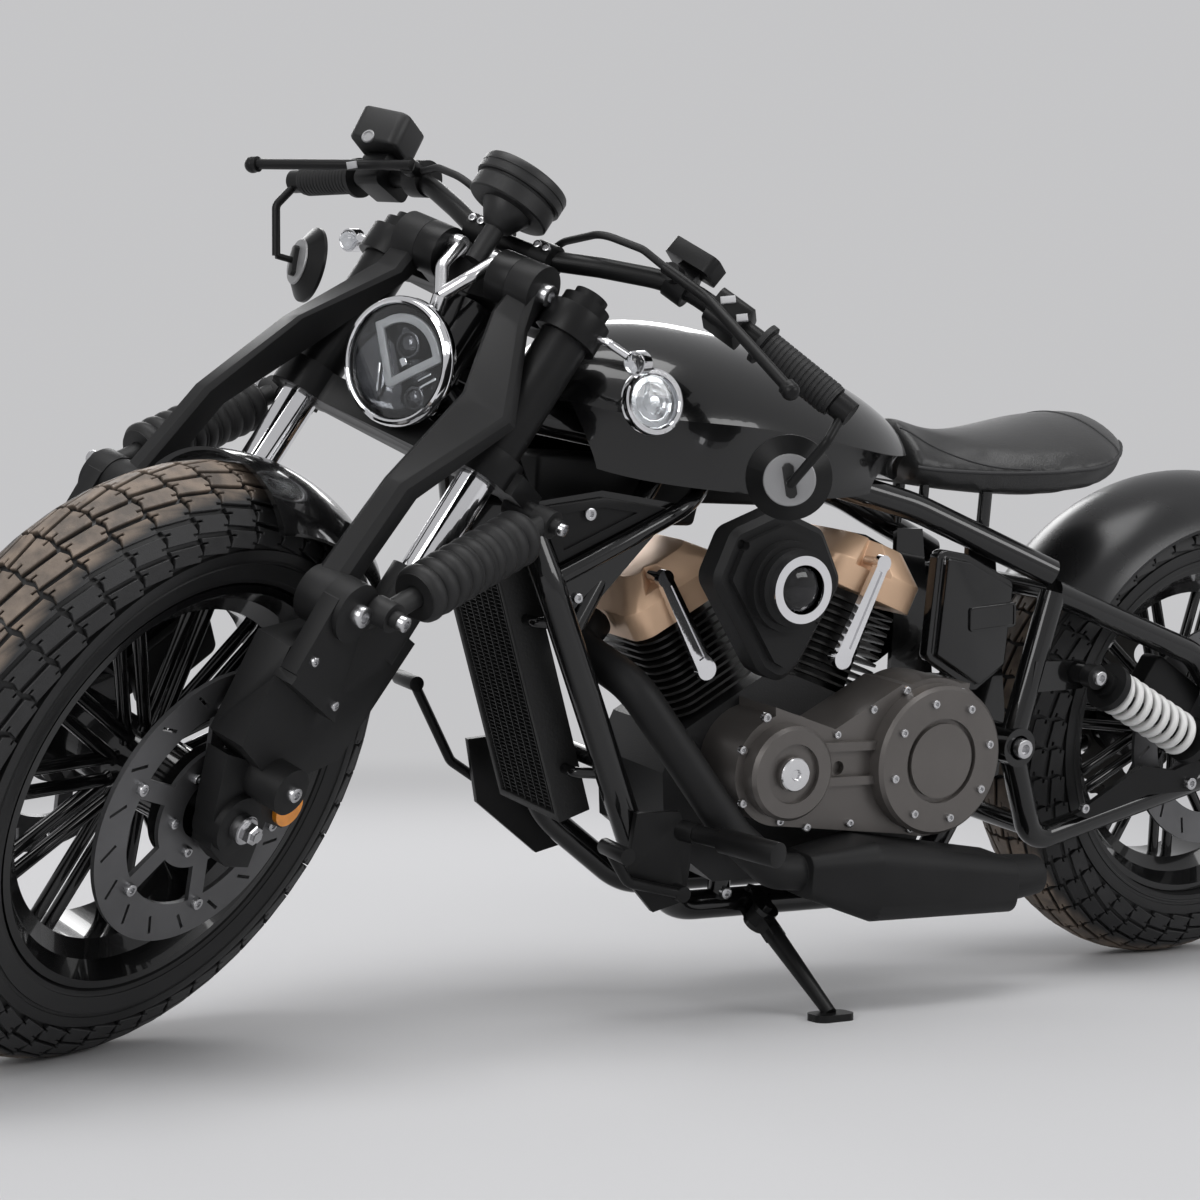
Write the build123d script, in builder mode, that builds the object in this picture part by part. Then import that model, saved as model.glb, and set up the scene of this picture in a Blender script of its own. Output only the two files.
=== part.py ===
from build123d import *
from math import asin, atan2, cos, degrees, hypot, pi, radians, sin, sqrt
import os

# Cruiser motorcycle, parked on its side stand with the steering on its left stop.
# Every piece is drawn on the upright machine: front is -X, left is -Y, up is +Z, and the ground
# under the middle of the wheelbase is the origin. The last section steers, leans and sets it down.

# ---------------------------------------------------------------- driving sizes (mm, degrees)
WHEELBASE = 1450.0
RAKE = 31.5
TRAIL = 115.0
STEER_LOCK = 32.0
LEAN = 9.0

FRONT_TYRE_R = 320.0
FRONT_TYRE_HALF = 68.0
REAR_TYRE_R = 315.0
REAR_TYRE_HALF = 75.0
RIM_LIP_R = 219.0
RIM_HALF = 60.0
RIM_WALL = 8.0
SPOKE_PAIRS = 11
SPOKE_R = 7.0
SPOKE_GAP = 25.0
AXLE_R = 9.0
FIT = 0.3
RUN = 5.0

FORK_HALF = 124.0
FORK_FORE = 12.0
FORK_TUBE_R = 27.0
STANCHION_R = 20.5
CLAMP_LOW = 757.0
CLAMP_LOW_TOP = 790.0
CLAMP_HIGH = 930.0
CLAMP_HIGH_TOP = 962.0
STEM_R = 17.0
HEAD_TUBE_R = 32.0
CLAMP_RING_R = 35.0

DISC_R = 146.0
DISC_BAND = 40.0
DISC_THICK = 5.0
FRONT_DISC_SIDE = 97.0

FRAME_TUBE_R = 17.0
SWINGARM_TUBE_R = 16.0
SWINGARM_HALF = 118.0
PIVOT_X = 348.0
PIVOT_Z = 317.0
PIVOT_BORE_R = 15.0

V_FRONT = 31.0
V_REAR = 19.0

os.makedirs("parts", exist_ok=True)

rake = radians(RAKE)
FRONT_AXLE = (-WHEELBASE / 2, 0.0, FRONT_TYRE_R)
REAR_AXLE = (WHEELBASE / 2, 0.0, REAR_TYRE_R)


# ---------------------------------------------------------------- places and small operations
def head(up, fore, side=0.0):
    """Point at a height along the steering axis, ahead of the axis, to one side."""
    x = -WHEELBASE / 2 - TRAIL + up * sin(rake) - fore * cos(rake)
    return (x, side, up * cos(rake) + fore * sin(rake))


STEER_AXIS = (sin(rake), 0.0, cos(rake))
HEAD = Plane(origin=head(0, 0), x_dir=(-cos(rake), 0, sin(rake)), z_dir=STEER_AXIS)
# local axes of HEAD: x ahead of the steering axis, y to the left, z up along it
FRONT_AXLE_UP = TRAIL * sin(rake) + FRONT_TYRE_R * cos(rake)
FRONT_AXLE_FORE = -TRAIL * cos(rake) + FRONT_TYRE_R * sin(rake)


def rod(start, end, radius, mode=Mode.ADD):
    """Round bar between two points."""
    way = Vector(end) - Vector(start)
    with BuildSketch(Plane(origin=start, z_dir=way)) as section:
        Circle(radius)
    extrude(section.sketch, amount=way.length, mode=mode)


def taper(start, end, start_r, end_r):
    """Cone between two points."""
    way = Vector(end) - Vector(start)
    with BuildSketch(Plane(origin=start, z_dir=way)) as section:
        Circle(start_r)
    with BuildSketch(Plane(origin=end, z_dir=way)) as far_section:
        Circle(end_r)
    loft([section.sketch, far_section.sketch])


def pipe(points, bends, radius, mode=Mode.ADD):
    """Round tube along straight runs joined by arcs."""
    with BuildLine() as route:
        FilletPolyline(*points, radius=bends)
    with BuildSketch(Plane(origin=route.line @ 0, z_dir=route.line % 0)) as section:
        Circle(radius)
    sweep(section.sketch, path=route.line, mode=mode)


def plate(outline, outer_y, thick, mode=Mode.ADD):
    """Flat plate parallel to the wheels: outline in X and Z, thickness to the left of outer_y."""
    with BuildSketch(Plane.XZ.offset(-outer_y)) as section:
        with BuildLine():
            Polyline(*outline, close=True)
        make_face()
    extrude(section.sketch, amount=thick, mode=mode)


def slab(centre, size, x_dir=(1, 0, 0), z_dir=(0, 0, 1), corner=0.0, mode=Mode.ADD):
    """Block with its own directions; the corners of its top view may be rounded."""
    place = Plane(origin=centre, x_dir=x_dir, z_dir=z_dir)
    with BuildSketch(place.offset(-size[2] / 2)) as section:
        if corner:
            RectangleRounded(size[0], size[1], corner)
        else:
            Rectangle(size[0], size[1])
    extrude(section.sketch, amount=size[2], mode=mode)


def ring_plane(centre):
    """Plane of a wheel's half section: x along the axle, y outward."""
    return Plane(origin=centre, x_dir=(0, 1, 0), z_dir=(1, 0, 0))


def axle_axis(centre):
    return Axis(centre, (0, 1, 0))


def polar(centre, radius, angle):
    """Point in the plane of a wheel, angle in degrees from +X towards +Z."""
    a = radians(angle)
    return (centre[0] + radius * cos(a), centre[2] + radius * sin(a))


# ---------------------------------------------------------------- wheels
RIM_SEAT_R = RIM_LIP_R - 14.0
RIM_WELL_R = RIM_LIP_R - 31.0


def cast_wheel(centre, hub_half, hub_r, flange_r, flange_half):
    """Rim, hub and paired round spokes as one casting."""
    lip = RIM_HALF - 6.0
    seat = RIM_HALF - 22.0
    well = RIM_HALF - 34.0
    with BuildSketch(ring_plane(centre)) as rim:
        with BuildLine():
            Polyline(
                (-RIM_HALF, RIM_LIP_R), (-lip, RIM_LIP_R), (-lip + 4, RIM_SEAT_R + 2), (-seat, RIM_SEAT_R),
                (-well, RIM_WELL_R), (well, RIM_WELL_R), (seat, RIM_SEAT_R), (lip - 4, RIM_SEAT_R + 2),
                (lip, RIM_LIP_R), (RIM_HALF, RIM_LIP_R), (RIM_HALF, RIM_LIP_R - RIM_WALL),
                (seat + 3, RIM_SEAT_R - RIM_WALL), (well + 3, RIM_WELL_R - RIM_WALL),
                (-well - 3, RIM_WELL_R - RIM_WALL), (-seat - 3, RIM_SEAT_R - RIM_WALL),
                (-RIM_HALF, RIM_LIP_R - RIM_WALL), close=True)
        make_face()
    revolve(rim.sketch, axle_axis(centre))
    with BuildSketch(ring_plane(centre)) as hub:
        with BuildLine():
            Polyline(
                (-hub_half, AXLE_R + FIT), (-hub_half, flange_r), (-flange_half, flange_r),
                (-flange_half, hub_r), (flange_half, hub_r), (flange_half, flange_r),
                (hub_half, flange_r), (hub_half, AXLE_R + FIT), close=True)
        make_face()
    revolve(hub.sketch, axle_axis(centre))
    for pair in range(SPOKE_PAIRS):
        angle = radians(77.0 + pair * 360.0 / SPOKE_PAIRS)
        out = Vector(cos(angle), 0, sin(angle))
        across = Vector(-sin(angle), 0, cos(angle))
        for side in (-0.5, 0.5):
            root = Vector(centre) + across * (side * SPOKE_GAP) + out * (hub_r - 8.0)
            tip = Vector(centre) + across * (side * SPOKE_GAP) + out * (RIM_WELL_R - RIM_WALL + 3.0)
            rod(root, tip, SPOKE_R)


def tyre(centre, outer_r, half):
    """Open carcass of a tyre with a round crown and two beads on the rim's seats."""
    mid_r = outer_r - half
    lip = RIM_HALF - 6.0
    seat = RIM_HALF - 22.0
    edge_r = RIM_LIP_R + 3.0
    edge = sqrt(half**2 - (mid_r - edge_r) ** 2)
    inner = half - 14.0
    inner_edge_r = RIM_SEAT_R + 12.0
    with BuildSketch(ring_plane(centre)) as section:
        with BuildLine():
            ThreePointArc((edge, edge_r), (0, outer_r), (-edge, edge_r))
            Polyline((-edge, edge_r), (-lip + FIT, RIM_LIP_R + 0.6), (-lip + 4.3, RIM_SEAT_R + 2.3),
                     (-seat, RIM_SEAT_R + FIT), (-seat + 3, inner_edge_r))
            ThreePointArc((-seat + 3, inner_edge_r), (0, mid_r + inner), (seat - 3, inner_edge_r))
            Polyline((seat - 3, inner_edge_r), (seat, RIM_SEAT_R + FIT), (lip - 4.3, RIM_SEAT_R + 2.3),
                     (lip - FIT, RIM_LIP_R + 0.6), (edge, edge_r))
        make_face()
    revolve(section.sketch, axle_axis(centre))


def brake_disc(centre, side, arms, hub_bore):
    """Slotted band on a spider; side is the disc's middle plane."""
    band_in = DISC_R - DISC_BAND
    with BuildSketch(Plane.XZ.offset(-side - DISC_THICK / 2)) as face:
        with Locations((centre[0], centre[2])):
            Circle(DISC_R)
            Circle(band_in, mode=Mode.SUBTRACT)
            Circle(66.0)
            with PolarLocations((band_in + 60.0) / 2, arms, start_angle=37.0):
                Rectangle(band_in - 52.0, 20.0)
            Circle(hub_bore, mode=Mode.SUBTRACT)
            with PolarLocations(DISC_R - 17.0, 18, start_angle=9.0):
                Rectangle(21.0, 3.6, rotation=32.0, mode=Mode.SUBTRACT)
    extrude(face.sketch, amount=DISC_THICK)


FRONT_HUB_HALF = FRONT_DISC_SIDE - DISC_THICK / 2
with BuildPart() as front_rim:
    cast_wheel(FRONT_AXLE, FRONT_HUB_HALF, 40.0, 62.0, FRONT_HUB_HALF - 14.0)

with BuildPart() as front_tyre:
    tyre(FRONT_AXLE, FRONT_TYRE_R, FRONT_TYRE_HALF)

with BuildPart() as front_disc:
    for side in (-FRONT_DISC_SIDE, FRONT_DISC_SIDE):
        brake_disc(FRONT_AXLE, side, 6, 34.0)

REAR_DISC_SIDE = 88.0
REAR_HUB_HALF = REAR_DISC_SIDE - DISC_THICK / 2
with BuildPart() as rear_rim:
    cast_wheel(REAR_AXLE, REAR_HUB_HALF, 42.0, 62.0, REAR_HUB_HALF - 14.0)

with BuildPart() as rear_tyre:
    tyre(REAR_AXLE, REAR_TYRE_R, REAR_TYRE_HALF)

with BuildPart() as rear_disc:
    brake_disc(REAR_AXLE, -REAR_DISC_SIDE, 6, 34.0)

# ---------------------------------------------------------------- chain drive, right side
TOOTH_THICK = 6.0
CHAIN_SIDE = REAR_HUB_HALF + TOOTH_THICK / 2
CHAIN_PITCH = 15.875
REAR_TEETH = 46
FRONT_TEETH = 15
ROLLER_R = 5.0
CHAIN_GAP = 0.6
CHAIN_HALF = 8.0
REAR_PITCH_R = CHAIN_PITCH / (2 * sin(pi / REAR_TEETH))
FRONT_PITCH_R = CHAIN_PITCH / (2 * sin(pi / FRONT_TEETH))
FRONT_SPROCKET = (300.0, 0.0, 300.0)


def sprocket(centre, teeth, pitch_r, bore, side):
    """Toothed ring whose tips stay under the chain's rollers."""
    tip_r = pitch_r - ROLLER_R - CHAIN_GAP
    with BuildSketch(Plane.XZ.offset(-side - TOOTH_THICK / 2)) as face:
        with Locations((centre[0], centre[2])):
            Circle(tip_r)
            with PolarLocations(tip_r, teeth):
                Circle(3.0, mode=Mode.SUBTRACT)
            Circle(bore, mode=Mode.SUBTRACT)
    extrude(face.sketch, amount=TOOTH_THICK)


with BuildPart() as rear_sprocket:
    sprocket(REAR_AXLE, REAR_TEETH, REAR_PITCH_R, 34.0, CHAIN_SIDE)
    with BuildSketch(Plane.XZ.offset(-CHAIN_SIDE - TOOTH_THICK / 2)) as windows:
        with Locations((REAR_AXLE[0], REAR_AXLE[2])):
            with PolarLocations(82.0, 5):
                Circle(15.0)
    extrude(windows.sketch, amount=TOOTH_THICK, mode=Mode.SUBTRACT)

# ---------------------------------------------------------------- fork, clamps and arms
ARM_PIVOT_UP = 957.0
ARM_PIVOT_FORE = 45.0
MID_UP = 560.0
MID_FORE = 147.0
PIVOT_IN = 36.0
PIVOT_SPLIT = 62.0
PIVOT_OUT = 93.0
PIVOT_R = 29.0
SHOCK_FRONT = (575.0, 128.0)
SHOCK_REAR = (758.0, -35.0)
SHOCK_SIDE = 192.0
EYE_HALF = 11.0
LEG_TOP = 640.0


def head_slab(up, top, outline, mode=Mode.ADD):
    """Plate across the steering axis; outline in (ahead, left)."""
    with BuildSketch(HEAD.offset(up)) as section:
        with BuildLine():
            Polyline(*outline, close=True)
        make_face()
    extrude(section.sketch, amount=top - up, mode=mode)


with BuildPart() as triple_clamps:
    rod(head(CLAMP_LOW, 0), head(CLAMP_HIGH_TOP, 0), STEM_R)
    with BuildSketch(HEAD.offset(CLAMP_LOW)) as low_bridge:
        with BuildLine():
            Polyline((24, 0), (24, 84), (42, FORK_HALF), (-18, FORK_HALF), (-30, 50), (-36, 0), close=True)
        make_face()
        mirror(about=Plane.XZ)
        with Locations((FORK_FORE, FORK_HALF), (FORK_FORE, -FORK_HALF)):
            Circle(FORK_TUBE_R + 9)
    extrude(low_bridge.sketch, amount=CLAMP_LOW_TOP - CLAMP_LOW)
    with BuildSketch(HEAD.offset(CLAMP_HIGH)) as high_bridge:
        with BuildLine():
            Polyline((30, 0), (42, PIVOT_IN), (42, PIVOT_SPLIT - 0.5), (12, PIVOT_SPLIT - 0.5), (12, FORK_HALF),
                     (-14, FORK_HALF), (-28, 50), (-34, 0), close=True)
        make_face()
        mirror(about=Plane.XZ)
        with Locations((FORK_FORE, FORK_HALF), (FORK_FORE, -FORK_HALF)):
            Circle(CLAMP_RING_R)
        with Locations((44, PIVOT_SPLIT + 16), (44, -PIVOT_SPLIT - 16)):
            Rectangle(60, 33, mode=Mode.SUBTRACT)
    extrude(high_bridge.sketch, amount=CLAMP_HIGH_TOP - CLAMP_HIGH)
    for s in (-1, 1):
        rod(head(ARM_PIVOT_UP, ARM_PIVOT_FORE, s * PIVOT_IN),
            head(ARM_PIVOT_UP, ARM_PIVOT_FORE, s * PIVOT_SPLIT), PIVOT_R)
        rod(head(SHOCK_REAR[0], SHOCK_REAR[1], s * (FORK_HALF + 20)),
            head(SHOCK_REAR[0], SHOCK_REAR[1], s * (SHOCK_SIDE - EYE_HALF - FIT)), 14.0)
        slab(head(CLAMP_LOW + 12, -16, s * (FORK_HALF + 28)), (54, 34, 24), x_dir=HEAD.x_dir, z_dir=HEAD.z_dir)
        rod(head(CLAMP_LOW - 40, FORK_FORE, s * FORK_HALF), head(CLAMP_LOW_TOP + 1, FORK_FORE, s * FORK_HALF),
            STANCHION_R + FIT, mode=Mode.SUBTRACT)
        rod(head(CLAMP_HIGH - 1, FORK_FORE, s * FORK_HALF), head(CLAMP_HIGH_TOP + 1, FORK_FORE, s * FORK_HALF),
            FORK_TUBE_R + FIT, mode=Mode.SUBTRACT)

# arm sections: height up the axis; back edge and front edge (inner, outer corner) ahead of the axis;
# inner and outer side
ARM_SECTIONS = (
    (950.0, 29.0, 62.0, 62.0, PIVOT_SPLIT + FIT, PIVOT_OUT),
    (912.0, 40.0, 68.0, 60.0, PIVOT_SPLIT + FIT, 103.0),
    (812.0, 46.0, 104.0, 72.0, 110.0, 156.0),
    (690.0, 112.0, 152.0, 146.0, 119.0, 145.0),
    (580.0, 128.0, 168.0, 160.0, 122.0, 150.0),
)
ARM_BEVEL = 6.0


def fork_arm(s):
    """Zigzag arm between the top pivot and the mid pivot on one side."""
    rings = []
    for up, back, front_in, front_out, inner, outer in ARM_SECTIONS:
        with BuildSketch(HEAD.offset(up)) as ring:
            with BuildLine():
                Polyline((back, -s * inner), (front_in, -s * inner), (front_out, -s * outer), (back, -s * outer),
                         close=True)
            make_face()
            chamfer(ring.vertices(), ARM_BEVEL)
        rings.append(ring.sketch)
    loft(rings, ruled=True)
    rod(head(ARM_PIVOT_UP, ARM_PIVOT_FORE, s * (PIVOT_SPLIT + FIT)),
        head(ARM_PIVOT_UP, ARM_PIVOT_FORE, s * PIVOT_OUT), PIVOT_R)
    rod(head(MID_UP, MID_FORE, s * 122), head(MID_UP, MID_FORE, s * 152), 29.0)


with BuildPart() as fork_arms:
    for s in (-1, 1):
        fork_arm(s)

with BuildPart() as fork_tubes:
    for s in (-1, 1):
        rod(head(CLAMP_LOW_TOP + FIT, FORK_FORE, s * FORK_HALF),
            head(CLAMP_HIGH_TOP + 14, FORK_FORE, s * FORK_HALF), FORK_TUBE_R)
        rod(head(CLAMP_HIGH_TOP + 14, FORK_FORE, s * FORK_HALF),
            head(CLAMP_HIGH_TOP + 24, FORK_FORE, s * FORK_HALF), 19.0)

with BuildPart() as stanchions:
    for s in (-1, 1):
        rod(head(LEG_TOP - 90, FORK_FORE, s * FORK_HALF),
            head(CLAMP_LOW_TOP, FORK_FORE, s * FORK_HALF), STANCHION_R)

LEG_IN = 108.0
REFLECTOR_SIDE = 134.0
LEG_OUT = 150.0
LEG_OUTLINE = ((535, 120), (500, 172), (398, 152), (382, 60), (440, -8), (LEG_TOP - 60, -14), (LEG_TOP - 60, 40))
CARRIER_OUTLINE = ((385, 140), (398, 60), (360, 25), (302, 4), (292, 40), (300, 78), (335, 108))


def leg_plate(outline, s, inner, outer):
    """Side casting drawn in (up, ahead), between two distances from the middle."""
    points = [head(up, fore) for up, fore in outline]
    with BuildSketch(Plane.XZ.offset(-(-inner if s < 0 else outer))) as section:
        with BuildLine():
            Polyline(*[(p[0], p[2]) for p in points], close=True)
        make_face()
    extrude(section.sketch, amount=outer - inner)


with BuildPart() as fork_legs:
    for s in (-1, 1):
        leg_plate(LEG_OUTLINE, s, LEG_IN, LEG_OUT)
        leg_plate(CARRIER_OUTLINE, s, LEG_IN, LEG_OUT - 16)
        rod(head(LEG_TOP - 92, FORK_FORE, s * FORK_HALF), head(LEG_TOP, FORK_FORE, s * FORK_HALF), 28.0)
        rod(head(LEG_TOP - 90 - FIT, FORK_FORE, s * FORK_HALF),
            head(LEG_TOP, FORK_FORE, s * FORK_HALF), STANCHION_R + FIT, mode=Mode.SUBTRACT)
        rod(head(MID_UP, MID_FORE, s * (152 + FIT)), head(MID_UP, MID_FORE, s * 178), 30.0)
        rod(head(SHOCK_FRONT[0], SHOCK_FRONT[1], s * 160),
            head(SHOCK_FRONT[0], SHOCK_FRONT[1], s * (SHOCK_SIDE - EYE_HALF - FIT)), 13.0)
        leg_plate(((590, 147), (560, 178), (480, 172), (470, 80), (540, 110)), s, 152 + FIT, 172)
        leg_plate(((520, 165), (470, 168), (465, 70), (510, 100)), s, LEG_OUT - 2, 172)
        rod(head(386, 75, s * (LEG_OUT - 30)), head(386, 75, s * 176), 24.0)
        leg_plate(((400, 48), (348, 30), (352, -10), (392, -14)), s, REFLECTOR_SIDE - 6, REFLECTOR_SIDE)
        rod(head(FRONT_AXLE_UP, FRONT_AXLE_FORE, s * LEG_IN),
            head(FRONT_AXLE_UP, FRONT_AXLE_FORE, s * (LEG_OUT - 8)), 30.0)
        rod(head(FRONT_AXLE_UP, FRONT_AXLE_FORE, s * (LEG_IN - 1)),
            head(FRONT_AXLE_UP, FRONT_AXLE_FORE, s * LEG_OUT), AXLE_R + FIT, mode=Mode.SUBTRACT)

with BuildPart() as reflectors:
    for s in (-1, 1):
        rod(head(372, 5, s * (REFLECTOR_SIDE + FIT)), head(372, 5, s * (REFLECTOR_SIDE + 6)), 19.0)

with BuildPart() as front_axle:
    rod((FRONT_AXLE[0], -LEG_OUT, FRONT_AXLE[2]), (FRONT_AXLE[0], LEG_OUT, FRONT_AXLE[2]), AXLE_R)
    for s in (-1, 1):
        rod((FRONT_AXLE[0], s * (LEG_OUT - 8 + FIT), FRONT_AXLE[2]),
            (FRONT_AXLE[0], s * (LEG_OUT + 2), FRONT_AXLE[2]), 15.0)

BELLOWS_R = 29.0
BELLOWS_RIBS = 8
with BuildPart() as front_shocks:
    for s in (-1, 1):
        front = Vector(head(SHOCK_FRONT[0], SHOCK_FRONT[1], s * SHOCK_SIDE))
        rear = Vector(head(SHOCK_REAR[0], SHOCK_REAR[1], s * SHOCK_SIDE))
        way = (rear - front).normalized()
        length = (rear - front).length
        rod(front, rear, 11.0)
        start = front + way * 43.0
        rib = (length - 43.0 - 40.0) / BELLOWS_RIBS
        for n in range(BELLOWS_RIBS):
            low = start + way * (n * rib)
            taper(low, low + way * (rib / 2), BELLOWS_R - 5.0, BELLOWS_R)
            taper(low + way * (rib / 2), low + way * rib, BELLOWS_R, BELLOWS_R - 5.0)
        for end in (front, rear):
            rod(end - Vector(0, EYE_HALF, 0), end + Vector(0, EYE_HALF, 0), 15.0)
            rod(end, end + Vector(0, s * 20, 0), 9.0)

# ---------------------------------------------------------------- front fender
FENDER_GAP = 8.0
FENDER_THICK = 3.0
FRONT_FENDER_HALF = 86.0


def fender_ring(centre, inner_r, half, drop, thick, lip, first, last):
    """Curved guard: an arched section turned about the axle between two angles from +X."""
    start = radians(first)
    place = Plane(origin=centre, x_dir=(0, 1, 0), z_dir=(sin(start), 0, -cos(start)))
    edge_r = inner_r - drop
    with BuildSketch(place) as section:
        with BuildLine():
            ThreePointArc((-half, edge_r), (0, inner_r), (half, edge_r))
            Line((half, edge_r), (half + thick + lip, edge_r))
            Line((half + thick + lip, edge_r), (half + thick + lip, edge_r + thick))
            ThreePointArc((half + thick + lip, edge_r + thick), (0, inner_r + thick),
                          (-half - thick - lip, edge_r + thick))
            Line((-half - thick - lip, edge_r + thick), (-half - thick - lip, edge_r))
            Line((-half - thick - lip, edge_r), (-half, edge_r))
        make_face()
    revolve(section.sketch, Axis(centre, (0, -1, 0)), revolution_arc=last - first)


with BuildPart() as front_fender:
    fender_ring(FRONT_AXLE, FRONT_TYRE_R + FENDER_GAP, FRONT_FENDER_HALF - FENDER_THICK, 46.0,
                FENDER_THICK, 3.0, 44.0, 84.0)
    for s in (-1, 1):
        stay = [head(up, fore) for up, fore in ((532, 50), (532, 74), (640, 112), (640, 60))]
        plate([(p[0], p[2]) for p in stay], s * (FRONT_FENDER_HALF + 1) + 3, 6)
        rod(head(546, 62, s * FRONT_FENDER_HALF), head(546, 62, s * (LEG_IN - FIT)), 10.0)

CALIPER_IN = 78.0
with BuildPart() as front_calipers:
    for s in (-1, 1):
        x, z = polar(FRONT_AXLE, 128.0, 30.0)
        middle = (CALIPER_IN + LEG_IN - FIT) / 2
        slab((x, s * middle, z), (66, 110, LEG_IN - FIT - CALIPER_IN), x_dir=(sin(radians(30)), 0, -cos(radians(30))),
             z_dir=(0, 1, 0), corner=10)
        with BuildSketch(Plane.XZ.offset(-s * FRONT_DISC_SIDE - DISC_THICK / 2 - RUN)) as slot:
            with Locations((FRONT_AXLE[0], FRONT_AXLE[2])):
                Circle(DISC_R + RUN + 1)
        extrude(slot.sketch, amount=DISC_THICK + 2 * RUN, mode=Mode.SUBTRACT)

# ---------------------------------------------------------------- handlebar and controls
BAR_R = 11.0
# bar route: height up the axis, ahead, side
BAR_ROUTE = ((1006, 4, 0), (1006, 4, 45), (1026, -9, 100), (1052, -32, 180), (1038, -62, 275), (1018, -97, 377))
BAR_BENDS = (60, 120, 160, 90)


def bar_point(n, s):
    up, fore, side = BAR_ROUTE[n]
    return Vector(head(up, fore, s * side))


with BuildPart() as handlebar:
    for s in (-1, 1):
        pipe([bar_point(n, s) for n in range(len(BAR_ROUTE))], BAR_BENDS, BAR_R)
        rod(head(CLAMP_HIGH_TOP, 2, s * 45), head(1000, 2, s * 45), 11.5)
        rod(head(1006, 4, s * 33), head(1006, 4, s * 57), 19.0)


def bar_bore(s):
    """Clears the bar, with its fit, out of what is clamped or pushed on it."""
    pipe([bar_point(n, s) for n in range(len(BAR_ROUTE))], BAR_BENDS, BAR_R + FIT, mode=Mode.SUBTRACT)


GRIP_R = 17.0
with BuildPart() as grips:
    for s in (-1, 1):
        inner = bar_point(4, s)
        outer = bar_point(5, s)
        way = (outer - inner).normalized()
        start = inner + way * 8
        rod(start, outer - way * 2, GRIP_R)
        rod(start, start + way * 6, GRIP_R + 6)
        bar_bore(s)

PERCH_R = 21.0
PERCH_AT = 2.0
PERCH_HALF = 12.0
with BuildPart() as hand_controls:
    for s in (-1, 1):
        inner = bar_point(3, s)
        outer = bar_point(4, s)
        way = (outer - inner).normalized()
        block = inner + way * 66
        slab(block, (52, 40, 40), x_dir=HEAD.x_dir, z_dir=way, corner=9)
        perch = inner + way * PERCH_AT
        rod(perch - way * PERCH_HALF, perch + way * PERCH_HALF, PERCH_R)
        if s < 0:
            rise = Vector(HEAD.x_dir).cross(way).normalized()
            slab(perch + rise * (PERCH_R + 6) + Vector(HEAD.x_dir) * 6, (34, 62, 20), x_dir=HEAD.x_dir, z_dir=rise,
                 corner=8)
        bar_bore(s)
        hinge = perch + Vector(HEAD.x_dir) * 34 - Vector(HEAD.z_dir) * 4
        rod(perch + Vector(HEAD.x_dir) * 16, hinge, 10.0)
        pipe([hinge - way * 8, hinge + way * 50, Vector(head(982, 0, s * 366))], 60, 6.0)
        rod(Vector(head(982, 0, s * 366)), Vector(head(978, -1, s * 376)), 9.0)

with BuildPart() as brake_reservoir:
    way = (bar_point(4, 1) - bar_point(3, 1)).normalized()
    rise = way.cross(Vector(HEAD.x_dir)).normalized()
    block = bar_point(3, 1) + way * 72
    slab(block + rise * (20 + FIT + 21) + Vector(HEAD.x_dir) * 24, (54, 66, 42), x_dir=HEAD.x_dir, z_dir=rise,
         corner=12)

CABLE_R = 4.2
CABLE_OFF = BAR_R + CABLE_R + 1.5
with BuildPart() as cables:
    for s in (-1, 1):
        way = (bar_point(4, s) - bar_point(3, s)).normalized()
        start = bar_point(3, s) + way * (PERCH_AT - PERCH_HALF - FIT) + Vector(HEAD.x_dir) * CABLE_OFF
        run = [start, start - way * 30 + Vector(HEAD.x_dir) * 8, Vector(head(1052, 18, s * 96)),
               Vector(head(1038, -24, s * 26)), Vector(head(CLAMP_HIGH_TOP + FIT, -24, s * 26))]
        pipe(run, (26, 36, 24), CABLE_R)

MIRROR_R = 46.0
MIRROR_AT = (935.0, -141.0, 356.0)
with BuildPart() as mirrors:
    for s in (-1, 1):
        end = bar_point(5, s)
        way = (end - bar_point(4, s)).normalized()
        centre = Vector(head(MIRROR_AT[0], MIRROR_AT[1], s * MIRROR_AT[2]))
        facing = (Vector(-0.85, s * 0.5, 0.1)).normalized()
        rod(end, end + way * 20, 14.0)
        stub = centre + facing * 28
        pipe([end + way * 12, end + way * 12 + Vector(HEAD.z_dir) * -38 + facing * 8, stub], 12, 5.0)
        rod(stub, centre, 4.0)
        taper(centre, centre - facing * 14, 26.0, MIRROR_R)
        rod(centre - facing * 14, centre - facing * 18, MIRROR_R)

INDICATOR_R = 13.0
with BuildPart() as front_indicators:
    for s in (-1, 1):
        lens = Vector(head(947, -13, s * 200))
        pipe([Vector(head(946, FORK_FORE, s * (FORK_HALF + CLAMP_RING_R + FIT))),
              Vector(head(946, FORK_FORE, s * (FORK_HALF + CLAMP_RING_R + 14))), lens], (8,), 4.5)
        rod(lens - Vector(-7, 0, 0), lens - Vector(8, 0, 0), INDICATOR_R)

# ---------------------------------------------------------------- headlight, bracket and gauge
LAMP_R = 68.0
LAMP_DEEP = 17.0
MOUTH_DEEP = 9.0
LAMP_FACE = Vector(head(818, 73))
LAMP_WAY = Vector(-1, 0, 0.1).normalized()


def lamp_plane(behind, rise=0.0):
    """Plane across the lamp's axis, behind its rim, and raised."""
    return Plane(origin=LAMP_FACE - LAMP_WAY * behind + Vector(0, 0, rise), x_dir=(0, 1, 0), z_dir=LAMP_WAY)


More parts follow.
